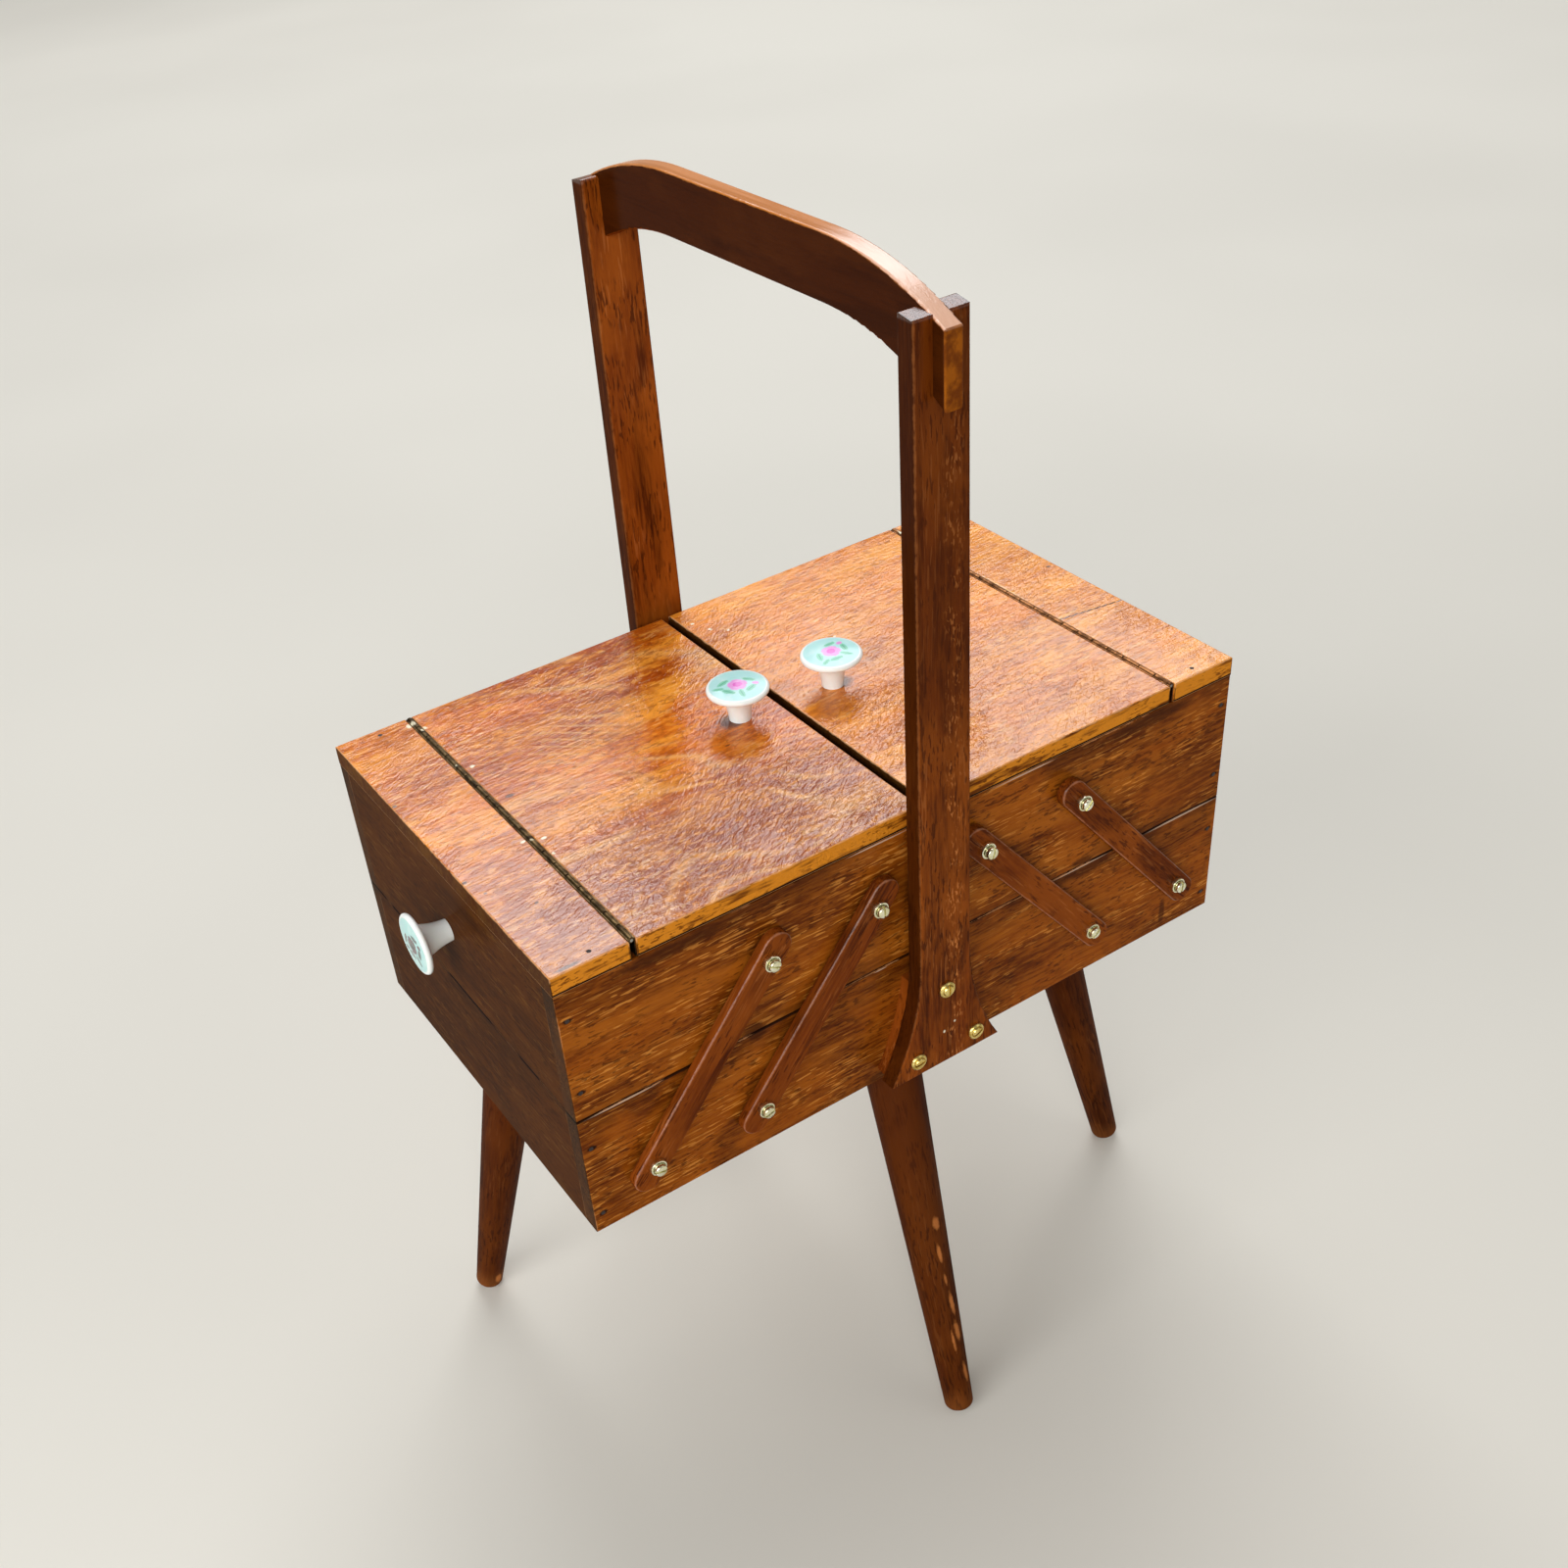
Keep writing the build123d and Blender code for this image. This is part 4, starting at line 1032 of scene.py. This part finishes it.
# profiles are (radius, height) points; a slot is its width and the height of its floor
fixings = {
    "screwCup": {"closed": True, "profile": [
        (2.3, 0.15), (4.55, 0.15), (4.6, 0.3), (4.6, 1.9), (4.45, 2.35), (4.1, 2.55), (3.75, 2.5),
        (3.55, 2.2), (3.45, 1.6), (2.3, 1.5)]},
    "pivotWasher": {"closed": True, "profile": [(2.3, -7.3), (5.0, -7.3), (5.0, -5.5), (2.3, -5.5)]},
    "screwHead": {"slot": (1.05, 3.8), "profile": [
        (0, -8.0), (2.2, -8.0), (2.2, 1.55), (3.2, 1.6), (3.3, 1.75), (3.3, 4.55), (3.1, 4.9),
        (2.6, 5.15), (1.4, 5.28), (0, 5.3)]},
    "screwRing": {"closed": True, "profile": [
        (2.6, 0.02), (5.0, 0.02), (5.05, 0.3), (4.9, 1.2), (4.5, 1.8), (3.9, 2.1), (3.4, 1.95),
        (3.1, 1.3), (2.6, 1.1)]},
    "sunkHead": {"slot": (1.2, 1.9), "profile": [
        (0, -8.0), (2.4, -8.0), (2.4, 0.8), (3.0, 0.9), (3.25, 1.3), (3.2, 2.3), (2.8, 2.8),
        (1.6, 3.05), (0, 3.1)]},
    "puttyDab": {"steps": 18, "profile": [
        (0, -0.29), (0.85, -0.29), (1.25, 0.0), (1.0, 0.05), (0.5, 0.08), (0, 0.09)]},
}
# how the slots stand, in degrees, on the front, and how the ones on the back differ
slotTurns = {"leftOuterLow": -12, "leftInnerLow": 16, "rightInnerLow": 40, "rightOuterLow": 84,
             "leftOuterHigh": -26, "leftInnerHigh": 92, "rightInnerHigh": 74, "rightOuterHigh": 48}
backPivots = {"times": 1.7, "plus": 25}
proudScrew, proudBy = "rightInnerHigh", 0.9     # one screw has worked itself out a little
uprightScrews = {"spots": ((0, 285.0, 88), (-19.5, 244.3, 8), (19.5, 244.3, 24)), "backTurn": 70}
templates = {name: turnedShape(name, **shape) for name, shape in fixings.items()}
templates["nothing"] = show("nothing", bpy.data.meshes.new("nothing"))
# the cup brings its washer along
merged = bmesh.new()
for name in ("screwCup", "pivotWasher"):
    merged.from_mesh(templates[name].data)
merged.to_mesh(templates["screwCup"].data)
merged.free()
fixingTree, hingeTree = makeFixingTree(), makeHingeTree()


def pivotPlaces(side, height):
    high = height == "High"
    level = arms["level"][side] + (swingZ if high else 0)
    places = []
    for face in faces.values():
        for row, part in enumerate(("Outer", "Inner")):
            name = side + part + height
            across = sides[side] * (arms["lowerX"] - row * arms["spacing"] - (swingX if high else 0))
            turn = slotTurns[name]
            if face > 0:
                turn = turn * backPivots["times"] + backPivots["plus"]
            reach = proudBy if name == proudScrew and face < 0 else 0.0
            places.append((across, face * arms["face"], level, face, turn, reach))
    return places


def setFixings(name, body, places, cup, head, finish, replaced=()):
    piece = grow(name, pointsMesh(name + "Points", places), fixingTree,
                 {"Cup": templates[cup], "Head": templates[head]}, finish)
    keep(piece, body, replaced)


for side in sides:
    setFixings(f"{side}UpperPivotScrews", f"{side}_tray", pivotPlaces(side, "High"),
               "screwCup", "screwHead", metal["pivot_metal"], [f"{side}_upper_pivot_fixings"])
setFixings("lowerPivotScrews", "base",
           pivotPlaces("left", "Low") + pivotPlaces("right", "Low"),
           "screwCup", "screwHead", metal["pivot_metal"], ["lower_pivot_fixings"])
uprightPlaces = [(x, face * handle["face"], z, face,
                  turn + (uprightScrews["backTurn"] if face > 0 else 0), 0.0)
                 for face in faces.values() for x, z, turn in uprightScrews["spots"]]
setFixings("uprightScrews", "base", uprightPlaces, "screwRing", "sunkHead",
           metal["cup_brass"], ["upright_screws"])


def nailRow(across, levels, step):
    # nail heads up both ends of the front and back boards
    return [(x, face * box["front"], z, face, step * k, 0.0) for face in faces.values()
            for x in across for k, z in enumerate(levels)]


nails = {"outerX": 205, "innerX": 7, "lowerZ": (236.5, 282.5), "lowerTurn": 40,
         "trayZ": (320.5, 366.5), "trayTurn": 55, "stripX": 186, "stripY": 115.5, "stripTurn": 30}
nailPlaces = {"base": nailRow((-nails["outerX"], nails["outerX"]), nails["lowerZ"],
                              nails["lowerTurn"])}
for side, x in sides.items():
    nailPlaces[f"{side}_tray"] = nailRow((x * nails["outerX"], x * nails["innerX"]),
                                         nails["trayZ"], nails["trayTurn"])
    nailPlaces[f"{side}_tray"] += [(x * nails["stripX"], face * nails["stripY"], box["top"], 0,
                                    nails["stripTurn"], 0.0) for face in faces.values()]
for body, places in nailPlaces.items():
    setFixings(f"{body}NailMarks", body, places, "puttyDab", "nothing", putty)
print("screws and nail marks set")

hinges = {"length": 241, "knuckles": 20, "barrel": 1.6, "gap": 0.6, "x": 166.5, "z": 393.7,
          "soft": 0.18}
length, barrel, gap, soft = mm(hinges["length"], hinges["barrel"], hinges["gap"], hinges["soft"])
for side, x in sides.items():
    for which, (leaf, body) in enumerate((("strip", "tray"), ("lid", "lid"))):
        piece = grow(f"{side}Hinge{leaf.title()}Leaf", bpy.data.meshes.new("hingeSeed"), hingeTree, {
            "Length": length, "Knuckles": hinges["knuckles"], "Which": which, "Barrel": barrel,
            "Gap": gap, "Leaf Side": float(x if leaf == "strip" else -x),
            "Centre": mm(x * hinges["x"], 0, hinges["z"])}, hingeLooks[side])
        soften = piece.modifiers.new("soften", "BEVEL")
        soften.width, soften.segments, soften.limit_method = soft, 2, "ANGLE"
        keep(piece, f"{side}_{body}", [f"{side}_hinge_{leaf}_leaf"])
for template in templates.values():
    bpy.data.objects.remove(template)
print("hinges set")

# the room, in metres
room = {
    "floorSize": 14.0, "floor": tone(212, 208, 198), "floorDull": tone(198, 194, 184),
    "near": 0.6, "far": 4.2, "nearLift": 0.08, "farLift": 0.5,
    "world": (0.90, 0.92, 0.95, 1.0), "worldStrength": 0.26, "seen": tone(212, 209, 200),
    "seenStrength": 0.45, "eyeStrength": 0.8,
    # where each lamp stands, the height it aims at, its size, power and colour
    "lamps": {
        "windowLight": ((2.56, 2.85, 3.65), 0.39, (1.85, 2.1), 58, (0.93, 0.96, 1.0)),
        "farWindowLight": ((0.94, 3.50, 3.85), 0.39, (1.55, 1.6), 47, (0.93, 0.96, 1.0)),
        "ceilingLight": ((0.59, 0.85, 2.30), 0.36, (1.3, 1.3), 16, (0.97, 0.98, 1.0)),
        "roomLight": ((1.7, -1.9, 1.9), 0.36, (1.8, 1.8), 6, (1.0, 0.97, 0.92)),
        "hallLight": ((-1.6, -2.1, 1.6), 0.36, (1.6, 1.6), 34, (1.0, 0.98, 0.96)),
        "doorLight": ((-2.35, -0.6, 1.5), 0.36, (1.6, 1.6), 38, (0.97, 0.98, 1.0)),
    },
}


def raysSeen(tree):
    # whether a ray comes from the camera, and whether from the camera, a reflection or glass
    rays = put(tree, "ShaderNodeLightPath")
    mirrored = larger(rays["Is Glossy Ray"], rays["Is Transmission Ray"])
    return rays["Is Camera Ray"], larger(rays["Is Camera Ray"], mirrored)


floorMesh = bpy.data.meshes.new("floor")
half = room["floorSize"] / 2
floorMesh.from_pydata([(-half, -half, 0), (half, -half, 0), (half, half, 0), (-half, half, 0)], [],
                      [(0, 1, 2, 3)])
floor = show("floor", floorMesh)
floorFinish, place = newMaterial("floor")
cloud = fade(noise(place, 1.2), 0.3, 0.7)
hue = paint(room["floor"], room["floorDull"], cloud, 0.3)
# far from the object the floor keeps a pale tone for the eye, for reflections and for glass
seen = raysSeen(place.tree)[1]
lift = fade(vec("LENGTH", place), room["near"], room["far"], room["nearLift"], room["farLift"],
            "LINEAR")
finishMaterial(floorFinish, hue, 0.9, Specular_IOR_Level=0.1, Emission_Color=hue,
               Emission_Strength=seen * lift)
floorMesh.materials.append(floorFinish)

world = bpy.data.worlds.new("room")
bpy.context.scene.world = world
world.use_nodes = True
sky = world.node_tree
sky.nodes.clear()
eye, seen = raysSeen(sky)
lit = put(sky, "ShaderNodeBackground", {"Color": room["world"], "Strength": room["worldStrength"]})
shown = put(sky, "ShaderNodeBackground", {
    "Color": room["seen"],
    "Strength": fade(eye, 0.0, 1.0, room["seenStrength"], room["eyeStrength"], "LINEAR")})
both = put(sky, "ShaderNodeMixShader", {0: seen, 1: lit[0], 2: shown[0]})
put(sky, "ShaderNodeOutputWorld", {"Surface": both[0]})

for name, (place, height, size, power, colour) in room["lamps"].items():
    light = bpy.data.lights.new(name, "AREA")
    light.shape, light.size, light.size_y = "RECTANGLE", *size
    light.energy, light.color = power, colour
    stand = show(name, light)
    stand.location = place
    aim = Vector((0.0, 0.0, height)) - Vector(place)
    stand.rotation_euler = aim.to_track_quat("-Z", "Y").to_matrix().to_euler()

# the camera's place in metres and its turn in degrees
view = {"place": (-0.42667, -0.67446, 0.89540), "turn": (51.814, 4.807, -33.025), "lens": 39.943,
        "sensor": 36.0, "shift": (0.03903, 0.06663)}
camera = bpy.data.cameras.new("camera")
camera.lens, camera.sensor_width = view["lens"], view["sensor"]
camera.shift_x, camera.shift_y = view["shift"]
stand = show("camera", camera)
stand.location = view["place"]
stand.rotation_euler = [radians(angle) for angle in view["turn"]]
bpy.context.scene.camera = stand
bpy.context.scene.view_settings.view_transform = "Standard"
print("room and camera set")
